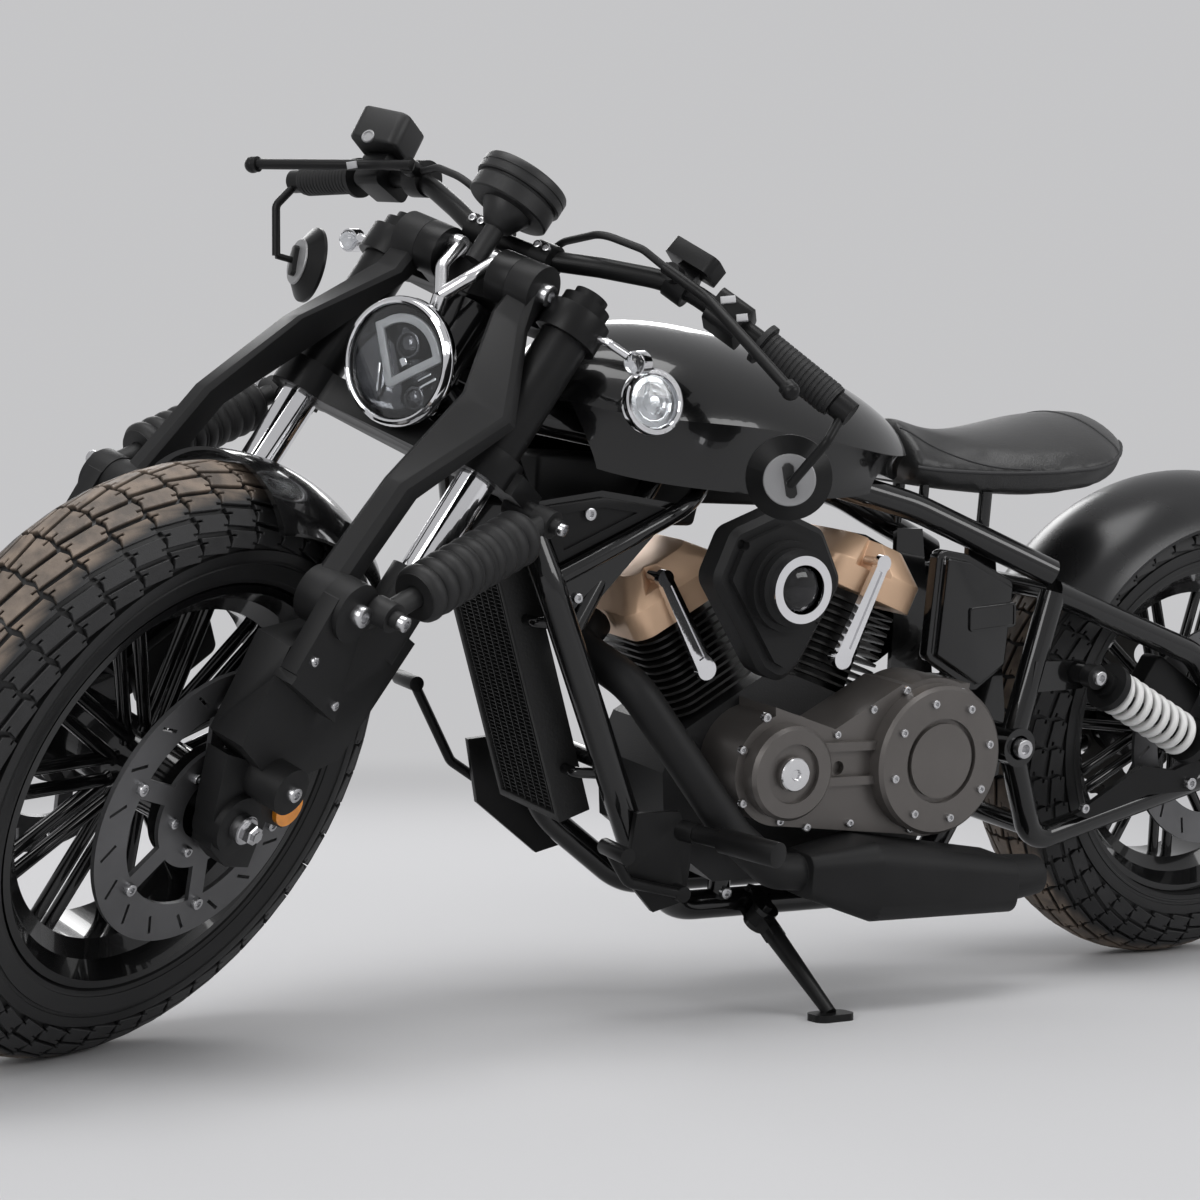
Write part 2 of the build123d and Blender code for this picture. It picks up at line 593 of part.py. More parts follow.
with BuildPart() as headlight:
    with BuildSketch(lamp_plane(0)) as face:
        Circle(LAMP_R)
    extrude(face.sketch, amount=-LAMP_DEEP)
    with BuildSketch(lamp_plane(LAMP_DEEP, 8.0)) as bowl:
        Circle(LAMP_R - 14)
    with BuildSketch(lamp_plane(36.0, 24.0)) as bowl_back:
        Circle(34)
    loft([bowl.sketch, bowl_back.sketch])
    with BuildSketch(lamp_plane(0)) as mouth:
        Circle(LAMP_R - 9)
    extrude(mouth.sketch, amount=-MOUTH_DEEP, mode=Mode.SUBTRACT)

with BuildPart() as headlight_glass:
    with BuildSketch(lamp_plane(MOUTH_DEEP - FIT)) as face:
        Circle(LAMP_R - 9 - FIT)
    extrude(face.sketch, amount=6)

with BuildPart() as headlight_bracket:
    fork = Vector(head(905, 66))
    for s in (-1, 1):
        rod(head(970, 50, s * 22), head(970, 50, s * (PIVOT_IN - FIT)), 10.0)
        pipe([Vector(head(970, 50, s * 26)), Vector(head(935, 66, s * 19)), fork], (20,), 7.5)
    rod(fork, Vector(head(870, 51)), 8.5)

GAUGE_R = 50.0
with BuildPart() as gauge:
    rod(head(CLAMP_HIGH_TOP, 36), head(1000, 47), 11.0)
    taper(head(1000, 47), head(1025, 49), 11.0, 30.0)
    rod(head(1025, 49), head(1045, 49), GAUGE_R - 3)
    rod(head(1045, 49), head(1067, 49), GAUGE_R)

# ---------------------------------------------------------------- frame
STAND_PIVOT = Vector(15.0, -97.0, 122.0)
STAND_FOOT = Vector(25.0, -232.0, 40.0)
STAND_FOLDED = Vector(0.97, 0.0, -0.24)
STAND_LEG = (STAND_FOOT - STAND_PIVOT).normalized()
STAND_AXIS = STAND_LEG.cross(STAND_FOLDED).normalized()
STAND_EYE_R = 15.0
STAND_EYE_HALF = 8.0
STAND_PIN_R = 6.0
CHEEK = 6.0
RAIL_HALF = 60.0
CRADLE_SPLIT = 395.0
CASE_LOW = 160.0
RADIATOR_HALF = 72.0
SIDE_COVER_IN = 91.0
SIDE_COVER_THICK = 26.0
REAR_FENDER_HALF = 96.0
SHOCK_TOP = (438.0, 406.0)
SHOCK_BOTTOM = (640.0, 308.0)
with BuildPart() as frame:
    rod(head(CLAMP_LOW_TOP + RUN, 0), head(CLAMP_HIGH - RUN, 0), HEAD_TUBE_R)
    for s in (-1, 1):
        pipe([(-395, s * 24, 695), (-345, s * 62, 640), (-300, s * 108, 505), (-168, s * 112, 205),
              (-80, s * RAIL_HALF, 130), (260, s * RAIL_HALF, 130), (330, s * 62, 260)], (60, 80, 90, 60, 50), FRAME_TUBE_R)
        pipe([(-380, s * 12, 720), (-290, s * 46, 680), (60, s * 64, 630), (200, s * 74, 600),
              (385, s * SWINGARM_HALF, 528)], (80, 150, 200), FRAME_TUBE_R)
        plate([(-330, 592), (-240, 608), (-140, 596), (-270, 450)], s * 96 + 3, 6)
        rod((-270, s * 100, 450), (-140, s * 58, 644), 12.0)
        plate([(300, 250), (372, 270), (372, 350), (330, 560), (290, 560), (300, 380)], s * 70 + 4, 8)
    rod(head(CLAMP_LOW - 10, 0), head(CLAMP_HIGH + 10, 0), STEM_R + FIT, mode=Mode.SUBTRACT)
    rod((-215, -111, 312), (-215, 111, 312), 10.0)
    rod((260, -RAIL_HALF, 130), (260, RAIL_HALF, 130), 10.0)
    for s in (-1, 1):
        # engine, radiator, seat and side cover mounts
        for x in (-22, 104):
            rod((x, s * RAIL_HALF, 130), (x, s * RAIL_HALF, CASE_LOW - FIT), 13.0)
        for tube_x, end_x, z in ((-286, -307, 465), (-212, -246, 300)):
            pipe([(tube_x, s * 109, z), (end_x, s * 94, z), (end_x, s * (RADIATOR_HALF + FIT), z)], (8,), 6.0)
        rod((300, s * 84, 566), (300, s * 84, 621.4), 8.0)
        rod((224, s * 62, 590), (224, s * 62, 625.0), 6.0)
        rod((318, s * 70, 470), (318, s * (SIDE_COVER_IN - FIT), 470), 8.0)
    rod((200, -RAIL_HALF, 130), (200, -113, 154.5), 8.0)
    rod((PIVOT_X, -74, PIVOT_Z), (PIVOT_X, 74, PIVOT_Z), 24.0)
    rod((PIVOT_X, -80, PIVOT_Z), (PIVOT_X, 80, PIVOT_Z), PIVOT_BORE_R, mode=Mode.SUBTRACT)
    cheek_in = STAND_EYE_HALF + FIT
    inward = Vector(0, 1, 0) - STAND_AXIS * STAND_AXIS.Y
    for level in (cheek_in, -cheek_in - CHEEK):
        with BuildSketch(Plane(origin=STAND_PIVOT + STAND_AXIS * level, x_dir=inward, z_dir=STAND_AXIS)) as cheek:
            Circle(STAND_EYE_R)
            with Locations((18, 0)):
                Rectangle(36, 24)
        extrude(cheek.sketch, amount=CHEEK)
    with BuildSketch(Plane(origin=STAND_PIVOT - STAND_AXIS * cheek_in, x_dir=inward, z_dir=STAND_AXIS)) as web:
        with Locations((29, 0)):
            Rectangle(18, 24)
    extrude(web.sketch, amount=2 * cheek_in)
    rod(STAND_PIVOT - STAND_AXIS * (cheek_in + CHEEK + 4), STAND_PIVOT + STAND_AXIS * (cheek_in + CHEEK + 4),
        STAND_PIN_R)

with BuildPart() as cradle:
    add(frame.part)
    split(bisect_by=Plane.XY.offset(CRADLE_SPLIT), keep=Keep.BOTTOM)

with BuildPart() as upper_frame:
    add(frame.part)
    split(bisect_by=Plane.XY.offset(CRADLE_SPLIT), keep=Keep.TOP)

with BuildPart() as swingarm:
    for s in (-1, 1):
        y = s * SWINGARM_HALF
        top = (391, y, 505)
        axle = (REAR_AXLE[0], y, REAR_AXLE[2])
        rod((PIVOT_X, s * (74 + FIT), PIVOT_Z), (PIVOT_X, s * (SWINGARM_HALF + 17), PIVOT_Z), 24.0)
        rod((PIVOT_X, y, PIVOT_Z), top, SWINGARM_TUBE_R)
        pipe([top, (637, y, 427), (REAR_AXLE[0] - 12, y, REAR_AXLE[2] + 30)], 60, SWINGARM_TUBE_R)
        pipe([(PIVOT_X, y, PIVOT_Z), (395, y, 196), (REAR_AXLE[0] - 12, y, REAR_AXLE[2] - 40)], 30,
             SWINGARM_TUBE_R)
        plate([(690, 250), (760, 290), (775, 320), (760, 350), (690, 380)], s * SWINGARM_HALF + 7, 14)
        plate([(362, 422), (440, 422), (452, 400), (440, 388), (358, 384)], s * (SWINGARM_HALF + 9) + 6, 12)
        rod((SHOCK_TOP[0], s * (SWINGARM_HALF + 10), SHOCK_TOP[1]),
            (SHOCK_TOP[0], s * (SWINGARM_HALF + 26 - FIT), SHOCK_TOP[1]), 12.0)
        rod((626, s * SWINGARM_HALF, 265), (626, s * (SWINGARM_HALF + 18.5 - FIT), 265), 12.0)
        rod((PIVOT_X, s * 60, PIVOT_Z), (PIVOT_X, s * 140, PIVOT_Z), PIVOT_BORE_R, mode=Mode.SUBTRACT)
        rod(axle, (axle[0], s * 130, axle[2]), AXLE_R + FIT, mode=Mode.SUBTRACT)
        rod((axle[0], s * 100, axle[2]), (axle[0], s * 130, axle[2]), AXLE_R + FIT, mode=Mode.SUBTRACT)
        rod((496, s * (REAR_FENDER_HALF + FIT), 475), (496, s * SWINGARM_HALF, 475), 8.0)
    for x, z in ((391, 505), (388, 214)):
        rod((x, -SWINGARM_HALF, z), (x, SWINGARM_HALF, z), 12.0)

with BuildPart() as rear_axle:
    rod((REAR_AXLE[0], -136, REAR_AXLE[2]), (REAR_AXLE[0], 136, REAR_AXLE[2]), AXLE_R)
    for s in (-1, 1):
        rod((REAR_AXLE[0], s * (SWINGARM_HALF + 7 + FIT), REAR_AXLE[2]),
            (REAR_AXLE[0], s * (SWINGARM_HALF + 19), REAR_AXLE[2]), 16.0)
        rod((REAR_AXLE[0], s * (REAR_HUB_HALF + 8), REAR_AXLE[2]),
            (REAR_AXLE[0], s * (SWINGARM_HALF - 7 - FIT), REAR_AXLE[2]), 15.0)

# ---------------------------------------------------------------- engine
def along(base, angle, distance):
    """Point along a cylinder's axis; a positive angle leans forward."""
    a = radians(angle)
    return (base[0] - distance * sin(a), base[1], base[2] + distance * cos(a))


def deck_point(base, angle, behind):
    """Point of a cylinder's foot plane in X and Z, behind its axis."""
    a = radians(angle)
    return (base[0] + behind * cos(a), base[2] + behind * sin(a))


CASE_HALF = 74.0
FRONT_BASE = (-40.0, 0.0, 372.0)
REAR_BASE = (112.0, 0.0, 378.0)
CYL_LENGTH = 118.0
CYL_R = 52.0
FIN_R = 68.0
FINS = 11
FIN_THICK = 3.0
HEAD_HALF = 78.0
VALLEY = 60.0
VALLEY_TIP = HEAD_HALF + 14.0 - VALLEY / sqrt(2)
# cylinders: foot, lean, rod cover's foot and top behind the cylinder's axis
BANKS = ((FRONT_BASE, V_FRONT, -20.0, -22.0), (REAR_BASE, -V_REAR, -22.0, -14.0))
ROD_COVER_LOW = 45.0
ROD_COVER_HIGH = CYL_LENGTH + 46.0

with BuildPart() as cylinders:
    for base, angle, _, _ in BANKS:
        top = along(base, angle, CYL_LENGTH)
        rod(base, top, CYL_R)
        for n in range(FINS):
            low = along(base, angle, 8.0 + n * (CYL_LENGTH - 12.0) / FINS)
            high = along(base, angle, 8.0 + n * (CYL_LENGTH - 12.0) / FINS + FIN_THICK)
            way = Vector(top) - Vector(base)
            with BuildSketch(Plane(origin=low, x_dir=(0, 1, 0), z_dir=way)) as fin:
                RectangleRounded(2 * FIN_R, 2 * FIN_R - 12, 30)
            extrude(fin.sketch, amount=FIN_THICK)

with BuildPart() as head_covers:
    for base, angle, _, top_x in BANKS:
        way = (Vector(along(base, angle, 1.0)) - Vector(base)).normalized()
        rings = []
        for rise, across, deep in ((CYL_LENGTH, 2 * HEAD_HALF - 4, 138), (CYL_LENGTH + 34, 2 * HEAD_HALF, 140),
                                   (CYL_LENGTH + 66, 120, 84)):
            with BuildSketch(Plane(origin=Vector(along(base, angle, rise)), x_dir=(0, 1, 0), z_dir=way)) as ring:
                RectangleRounded(across, deep, 22)
            rings.append(ring.sketch)
        loft(rings, ruled=True)
        for s in (-1, 1):
            valley = Vector(along(base, angle, ROD_COVER_HIGH - 12)) + Vector(top_x, s * (HEAD_HALF + 14), 0)
            with BuildSketch(Plane(origin=valley, x_dir=(0, 1, 0), z_dir=way)) as notch:
                with Locations(Location((0, 0), 45)):
                    Rectangle(VALLEY, VALLEY)
            extrude(notch.sketch, amount=60, mode=Mode.SUBTRACT)

with BuildPart() as crankcase:
    decks = [deck_point(FRONT_BASE, V_FRONT, -72), deck_point(FRONT_BASE, V_FRONT, 62),
             deck_point(REAR_BASE, -V_REAR, -62), deck_point(REAR_BASE, -V_REAR, 64)]
    plate([(-120, 290), *decks, (240, 340), (282, 270), (250, 190), (120, CASE_LOW), (-40, CASE_LOW),
           (-110, 210)],
          CASE_HALF, 2 * CASE_HALF)

PRIMARY_FACE = 148.0
RIGHT_FACE = 122.0
CLUTCH = (200.0, 313.0)
PRIMARY_FRONT = (-8.0, 305.0)
with BuildPart() as primary_cover:
    with BuildSketch(Plane.XZ.offset(CASE_HALF)) as outline:
        with BuildLine():
            Polyline((-8, 241), (180, 222), (230, 222), (250, 400), (150, 400), (60, 350), (-25, 377), close=True)
        make_face()
        with Locations(PRIMARY_FRONT):
            Circle(64)
        with Locations(CLUTCH):
            Circle(94)
    extrude(outline.sketch, amount=PRIMARY_FACE - CASE_HALF)
    with BuildSketch(Plane.XZ.offset(PRIMARY_FACE)) as caps:
        with Locations(PRIMARY_FRONT):
            Circle(54)
        with Locations(CLUTCH):
            Circle(88)
    extrude(caps.sketch, amount=22)
    chamfer(faces().sort_by(Axis.Y)[:2].edges(), 4)
    for low, high in ((286, 296), (326, 336)):
        plate([(30, low), (132, low), (132, high), (30, high)], -PRIMARY_FACE, 8)
    with BuildSketch(Plane.XZ.offset(PRIMARY_FACE + 16)) as dish:
        with Locations(CLUTCH):
            Circle(50)
            Circle(44, mode=Mode.SUBTRACT)
        with Locations(PRIMARY_FRONT):
            Circle(34)
            Circle(20, mode=Mode.SUBTRACT)
    extrude(dish.sketch, amount=8, mode=Mode.SUBTRACT)
    for x, z in ((62, 360), (68, 305)):
        rod((x, -PRIMARY_FACE - 9, z), (x, -PRIMARY_FACE + 8, z), 8.0, mode=Mode.SUBTRACT)

with BuildPart() as right_cover:
    with BuildSketch(Plane.XZ.offset(-RIGHT_FACE)) as outline:
        with Locations((40, 300)):
            Circle(82)
        with Locations((170, 300)):
            Circle(70)
        with BuildLine():
            Polyline((40, 382), (170, 370), (170, 230), (40, 218), close=True)
        make_face()
    extrude(outline.sketch, amount=RIGHT_FACE - CASE_HALF)

ROD_COVER_R = 7.0
ROD_COVER_SIDE = 87.0
with BuildPart() as rod_covers:
    for base, angle, foot_x, top_x in BANKS:
        foot = Vector(along(base, angle, ROD_COVER_LOW)) + Vector(foot_x, -ROD_COVER_SIDE, 0)
        top = Vector(along(base, angle, ROD_COVER_HIGH)) + Vector(top_x, -ROD_COVER_SIDE, 0)
        rod(foot, (foot.X, -FIN_R - FIT, foot.Z), ROD_COVER_R - 1)
        rod(top, (top.X, -VALLEY_TIP - (ROD_COVER_R - 1 + FIT) * sqrt(2), top.Z), ROD_COVER_R - 1)
        run = (top - foot).normalized()
        lean = Vector(run.Z, 0, -run.X)
        bar = [foot + lean * 11, top + lean * 8, top - lean * 8, foot - lean * 11]
        groove = [foot + run * 14 + lean * 4, top - run * 10 + lean * 3, top - run * 10 - lean * 3,
                  foot + run * 14 - lean * 4]
        with BuildSketch(Plane.XZ.offset(ROD_COVER_SIDE - 4)) as face:
            with BuildLine():
                Polyline(*[(corner.X, corner.Z) for corner in bar], close=True)
            make_face()
            with Locations((foot.X, foot.Z)):
                Circle(12)
            with Locations((top.X, top.Z)):
                Circle(10)
        extrude(face.sketch, amount=9)
        plate([(corner.X, corner.Z) for corner in groove], -ROD_COVER_SIDE - 3, 4, mode=Mode.SUBTRACT)

AIR = (-44.0, 517.0)
with BuildPart() as air_cleaner:
    with BuildSketch(Plane.XZ.offset(128)) as cover:
        with BuildLine():
            Polyline((-131, 520), (-110, 575), (-51, 600), (10, 578), (42, 520), (-8, 425), (-31, 405), (-60, 420),
                     close=True)
        make_face()
        fillet(cover.vertices(), 22)
    extrude(cover.sketch, amount=36)
    chamfer(faces().sort_by(Axis.Y)[0].outer_wire().edges(), 7)
    with BuildSketch(Plane.XZ.offset(164)) as raised:
        offset(cover.sketch, amount=-16)
    extrude(raised.sketch, amount=8)
    rod((AIR[0], -172, AIR[1]), (AIR[0], -186, AIR[1]), 50.0)
    rod((AIR[0], -186, AIR[1]), (AIR[0], -196, AIR[1]), 43.0)
    for x, z in ((-90, 452), (8, 470), (-100, 560)):
        rod((x, -160, z), (x, -180, z), 5.5, mode=Mode.SUBTRACT)
    rod((-50, -HEAD_HALF + 0.4, 500), (-50, -128, 500), 26.0)

with BuildPart() as air_ring:
    with BuildSketch(Plane.XZ.offset(196)) as ring:
        with Locations(AIR):
            Circle(37)
            Circle(27, mode=Mode.SUBTRACT)
    extrude(ring.sketch, amount=12)

with BuildPart() as radiator:
    top = Vector(-332, 0, 540)
    bottom = Vector(-228, 0, 245)
    way = (top - bottom).normalized()
    face = Vector(-way.Z, 0, way.X)
    slab((top + bottom) / 2, (40, 2 * RADIATOR_HALF, (top - bottom).length), x_dir=face, z_dir=way)

# ---------------------------------------------------------------- exhaust
with BuildPart() as exhaust:
    port = along(FRONT_BASE, V_FRONT, CYL_LENGTH + 22)
    port = (port[0] - 79.2 * cos(radians(V_FRONT)), 0.0, port[2] - 79.2 * sin(radians(V_FRONT)))
    pipe([port, (port[0] - 34, -20, port[2] - 22), (-190, -112, 398), (-76, -158, 238), (-24, -165, 195),
          (30, -165, 190)], (22, 50, 60, 40), 21.0)
    with BuildSketch(Plane.YZ.offset(12)) as front_end:
        with Locations((-165, 190)):
            RectangleRounded(60, 50, 14)
    with BuildSketch(Plane.YZ.offset(95)) as mid:
        with Locations((-165, 182)):
            RectangleRounded(100, 92, 24)
    with BuildSketch(Plane.YZ.offset(300)) as rear_end:
        with Locations((-165, 165)):
            RectangleRounded(92, 64, 20)
    loft([front_end.sketch, mid.sketch, rear_end.sketch], ruled=True)
    taper((300, -165, 165), (363, -165, 168), 30.0, 24.0)

# ---------------------------------------------------------------- bodywork
# tank sections: X, half width at the foot, bottom Z, half width at the crease, crease Z, top Z
TANK_SECTIONS = (
    (-292.0, 62.0, 648.0, 84.0, 705.0, 742.0),
    (-200.0, 108.0, 622.0, 142.0, 690.0, 788.0),
    (-60.0, 118.0, 611.0, 146.0, 684.0, 784.0),
    (80.0, 104.0, 610.0, 126.0, 667.0, 750.0),
    (180.0, 64.0, 634.0, 78.0, 660.0, 704.0),
)


def body_section(x, foot, bottom, crease, crease_z, top, hollow=0.0):
    """Arched section over a creased flank; the flank below the crease may be hollowed."""
    middle = (foot + crease) / 2 - hollow
    middle_z = (bottom + crease_z) / 2 + hollow
    with BuildSketch(Plane.YZ.offset(x)) as ring:
        with BuildLine():
            if hollow:
                ThreePointArc((-crease, crease_z), (-middle, middle_z), (-foot, bottom))
                Line((-foot, bottom), (foot, bottom))
                ThreePointArc((foot, bottom), (middle, middle_z), (crease, crease_z))
            else:
                Polyline((-crease, crease_z), (-foot, bottom), (foot, bottom), (crease, crease_z))
            ThreePointArc((crease, crease_z), (0, top), (-crease, crease_z))
        make_face()
    return ring.sketch


TANK_HOLLOW = 4.0
TUNNEL_HALF = 93.0
with BuildPart() as tank:
    loft([body_section(*row, TANK_HOLLOW) for row in TANK_SECTIONS])
    plate([(-310, 590), (-310, 702), (-285, 700), (75, 650), (205, 622), (205, 590)], TUNNEL_HALF, 2 * TUNNEL_HALF,
          mode=Mode.SUBTRACT)

with BuildPart() as tank_ornaments:
    for s in (-1, 1):
        rod((-215, s * 142.2, 706), (-215, s * 153, 708), 36.0)

# seat sections: X, half width at the foot, bottom Z, half width at the edge, edge Z, top Z
SEAT_SECTIONS = (
    (200.0, 60.0, 628.0, 76.0, 650.0, 704.0),
    (320.0, 100.0, 622.0, 118.0, 650.0, 688.0),
    (432.0, 126.0, 634.0, 142.0, 664.0, 711.0),
    (508.0, 76.0, 662.0, 90.0, 690.0, 722.0),
)
with BuildPart() as seat:
    loft([body_section(*row) for row in SEAT_SECTIONS])

with BuildPart() as side_covers:
    for s in (-1, 1):
        with BuildSketch(Plane.XZ.offset(-s * SIDE_COVER_IN)) as face:
            with BuildLine():
                Polyline((215, 422), (218, 554), (262, 548), (338, 516), (336, 412), (292, 381), close=True)
            make_face()
            fillet(face.vertices(), 12)
        extrude(face.sketch, amount=-s * (SIDE_COVER_THICK - 10))
        with BuildSketch(Plane.XZ.offset(-s * (SIDE_COVER_IN + SIDE_COVER_THICK - 10))) as raised:
            offset(face.sketch, amount=-9)
        extrude(raised.sketch, amount=-s * 10)

with BuildPart() as rear_fender:
    fender_ring(REAR_AXLE, REAR_TYRE_R + 20, REAR_FENDER_HALF - 4.0, 60.0, 4.0, 0.0, -4.0, 146.0)

with BuildPart() as tail_lamp:
    a = radians(30.0)
    x, z = polar(REAR_AXLE, REAR_TYRE_R + 24 + 12 + FIT, 30.0)
    slab((x, 0, z), (44, 84, 24), x_dir=(sin(a), 0, -cos(a)), z_dir=(cos(a), 0, sin(a)), corner=8)

# ---------------------------------------------------------------- rear shocks and links
SPRING_R = 28.0
SPRING_WIRE = 5.0
SPRING_TURNS = 8
REAR_SHOCK_SIDE = SWINGARM_HALF + 34.0
with BuildPart() as rear_shocks:
    for s in (-1, 1):
        y = s * REAR_SHOCK_SIDE
        top = Vector(SHOCK_TOP[0], y, SHOCK_TOP[1])
        bottom = Vector(SHOCK_BOTTOM[0], y, SHOCK_BOTTOM[1])
        way = (bottom - top).normalized()
        rod(top, bottom, 7.5)
        rod(top + way * 18, top + way * 60, 16.0)
        rod(bottom - way * 38, bottom - way * 26, 30.0)
        rod(top + way * 26, top + way * 36, 30.0)
        for end in (top, bottom):
            rod(end - Vector(0, 8, 0), end + Vector(0, 8, 0), 15.0)

with BuildPart() as rear_springs:
    for s in (-1, 1):
        y = s * REAR_SHOCK_SIDE
        top = Vector(SHOCK_TOP[0], y, SHOCK_TOP[1])
        bottom = Vector(SHOCK_BOTTOM[0], y, SHOCK_BOTTOM[1])
        way = (bottom - top).normalized()
        first = top + way * (36 + SPRING_WIRE + FIT)
        last = bottom - way * (38 + SPRING_WIRE + FIT)
        height = (last - first).length
        coil = Helix(pitch=height / SPRING_TURNS, height=height, radius=SPRING_R - SPRING_WIRE,
                     center=first, direction=way)
        with BuildSketch(Plane(origin=coil @ 0, z_dir=coil % 0)) as wire:
            Circle(SPRING_WIRE)
        sweep(wire.sketch, path=coil, is_frenet=True)

with BuildPart() as shock_links:
    for s in (-1, 1):
        plate([(440, 232), (462, 226), (560, 252), (632, 254), (662, 304), (648, 322), (624, 290), (600, 282),
               (545, 290)],
              s * (REAR_SHOCK_SIDE - 12) + 3.5, 7)

# ---------------------------------------------------------------- chain loop
with BuildPart() as drive_chain:
    gap_x = REAR_AXLE[0] - FRONT_SPROCKET[0]
    gap_z = REAR_AXLE[2] - FRONT_SPROCKET[2]
    span = hypot(gap_x, gap_z)
    tilt = degrees(atan2(gap_z, gap_x))
    wrap = degrees(asin((REAR_PITCH_R - FRONT_PITCH_R) / span))

    def loop_face(grow):
        """Belt shape round both sprockets, grown from the pitch line."""
        r1 = FRONT_PITCH_R + grow
        r2 = REAR_PITCH_R + grow
        a, b = FRONT_SPROCKET, REAR_AXLE
        up_angle = 90 + wrap + tilt
        low_angle = -90 - wrap + tilt
        with BuildLine() as edge:
            Line(polar(a, r1, up_angle), polar(b, r2, up_angle))
            ThreePointArc(polar(b, r2, up_angle), polar(b, r2, tilt), polar(b, r2, low_angle))
            Line(polar(b, r2, low_angle), polar(a, r1, low_angle))
            ThreePointArc(polar(a, r1, low_angle), polar(a, r1, 180 + tilt), polar(a, r1, up_angle))
        return make_face(edge.edges())

    with BuildSketch(Plane.XZ.offset(-CHAIN_SIDE - CHAIN_HALF)) as band:
        loop_face(7.0)
    extrude(band.sketch, amount=2 * CHAIN_HALF)
    with BuildSketch(Plane.XZ.offset(-CHAIN_SIDE - CHAIN_HALF)) as hole:
        loop_face(-ROLLER_R)
    extrude(hole.sketch, amount=2 * CHAIN_HALF, mode=Mode.SUBTRACT)

# ---------------------------------------------------------------- foot controls
PEG_ROOT = (-122.0, 154.0, 240.0)
PEG_END = (-86.0, 262.0, 240.0)
PEG_R = 14.0
PEG_LENGTH = 76.0
LEFT_PLATE = ((-198, 190), (-190, 262), (-136, 262), (-114, 226), (-120, 160), (-160, 150))
RIGHT_PLATE = ((-262, 292), (-176, 300), (-136, 262), (-114, 226), (-120, 160), (-160, 150), (-244, 215))
# side, bracket, stud on the down tube, lever's bend and toe piece (all X, Z)
CONTROL_SETS = (
    (-1, LEFT_PLATE, (-181, 236), (-132, 172), (-204, 190), (-232, 230)),
    (1, RIGHT_PLATE, (-193, 262), (-194, 212), (-272, 262), (-326, 356)),
)


def peg_ends(s):
    """Root and tip of a foot peg."""
    return [Vector(x, s * y, z) for x, y, z in (PEG_ROOT, PEG_END)]


with BuildPart() as foot_controls:
    for s, bracket, stud, pivot, bend, toe in CONTROL_SETS:
        plate(bracket, s * 136 + 4, 8)
        rod((stud[0], s * 129, stud[1]), (stud[0], s * 136, stud[1]), 9.0)
        rod((-130, s * 136, PEG_ROOT[2]), (PEG_ROOT[0], s * (PEG_ROOT[1] + 2), PEG_ROOT[2]), 12.0)
        root, end = peg_ends(s)
        rod(root, end, PEG_R - 4)
        rod(end - (end - root).normalized() * PEG_LENGTH, end, PEG_R)
        rod((pivot[0], s * 136, pivot[1]), (pivot[0], s * 156, pivot[1]), 9.0)
        pipe([(pivot[0], s * 150, pivot[1]), (bend[0], s * 154, bend[1]), (toe[0], s * 154, toe[1])], (20,), 6.0)
        rod((toe[0], s * 146, toe[1]), (toe[0], s * 196, toe[1]), 9.0)

with BuildPart() as rear_caliper:
    x, z = polar(REAR_AXLE, 120.0, 150.0)
    slab((x, -REAR_DISC_SIDE, z), (60, 96, 30), x_dir=(sin(radians(150)), 0, -cos(radians(150))),
         z_dir=(0, 1, 0), corner=10)
    with BuildSketch(Plane.XZ.offset(REAR_DISC_SIDE - DISC_THICK / 2 - RUN)) as slot:
        with Locations((REAR_AXLE[0], REAR_AXLE[2])):
            Circle(DISC_R + RUN + 1)
    extrude(slot.sketch, amount=DISC_THICK + 2 * RUN, mode=Mode.SUBTRACT)

# ---------------------------------------------------------------- posture
def moved_point(place, point):
    return (place * Pos(*point)).position


def low_point(place, centre, wheel_r, half):
    """Lowest height of a round-crowned tyre."""
    hub = moved_point(place, centre)
    tip = moved_point(place, (centre[0], centre[1] + 1, centre[2]))
    tilt = (tip - hub).Z
    return hub.Z - (wheel_r - half) * sqrt(1 - tilt**2) - half


turned = HEAD.location * Rot(Z=STEER_LOCK) * HEAD.location.inverse()
pitch = 0.0
for _ in range(8):
    leaned = Rot(Y=pitch) * Rot(X=LEAN)
    front_low = low_point(leaned * turned, FRONT_AXLE, FRONT_TYRE_R, FRONT_TYRE_HALF)
    rear_low = low_point(leaned, REAR_AXLE, REAR_TYRE_R, REAR_TYRE_HALF)
    pitch -= degrees((front_low - rear_low) / WHEELBASE)
parked = Pos(0, 0, -rear_low) * leaned

# ---------------------------------------------------------------- side stand
with BuildPart() as side_stand:
    eye_plane = Plane(origin=STAND_PIVOT - STAND_AXIS * STAND_EYE_HALF, x_dir=STAND_LEG, z_dir=STAND_AXIS)
    with BuildSketch(eye_plane) as eye:
        Circle(STAND_EYE_R)
        with Locations((18, 0)):
            Rectangle(36, 20)
        Circle(STAND_PIN_R + FIT, mode=Mode.SUBTRACT)
    extrude(eye.sketch, amount=2 * STAND_EYE_HALF)
    sole_at = moved_point(parked, STAND_FOOT)
    sole_plane = Plane(parked.inverse() * Pos(sole_at.X, sole_at.Y, 0))
    with BuildSketch(sole_plane) as sole:
        RectangleRounded(50, 34, 12)
    extrude(sole.sketch, amount=8)
    taper(STAND_PIVOT + STAND_LEG * 26, sole_plane.origin + sole_plane.z_dir * 7, 11.5, 7.5)

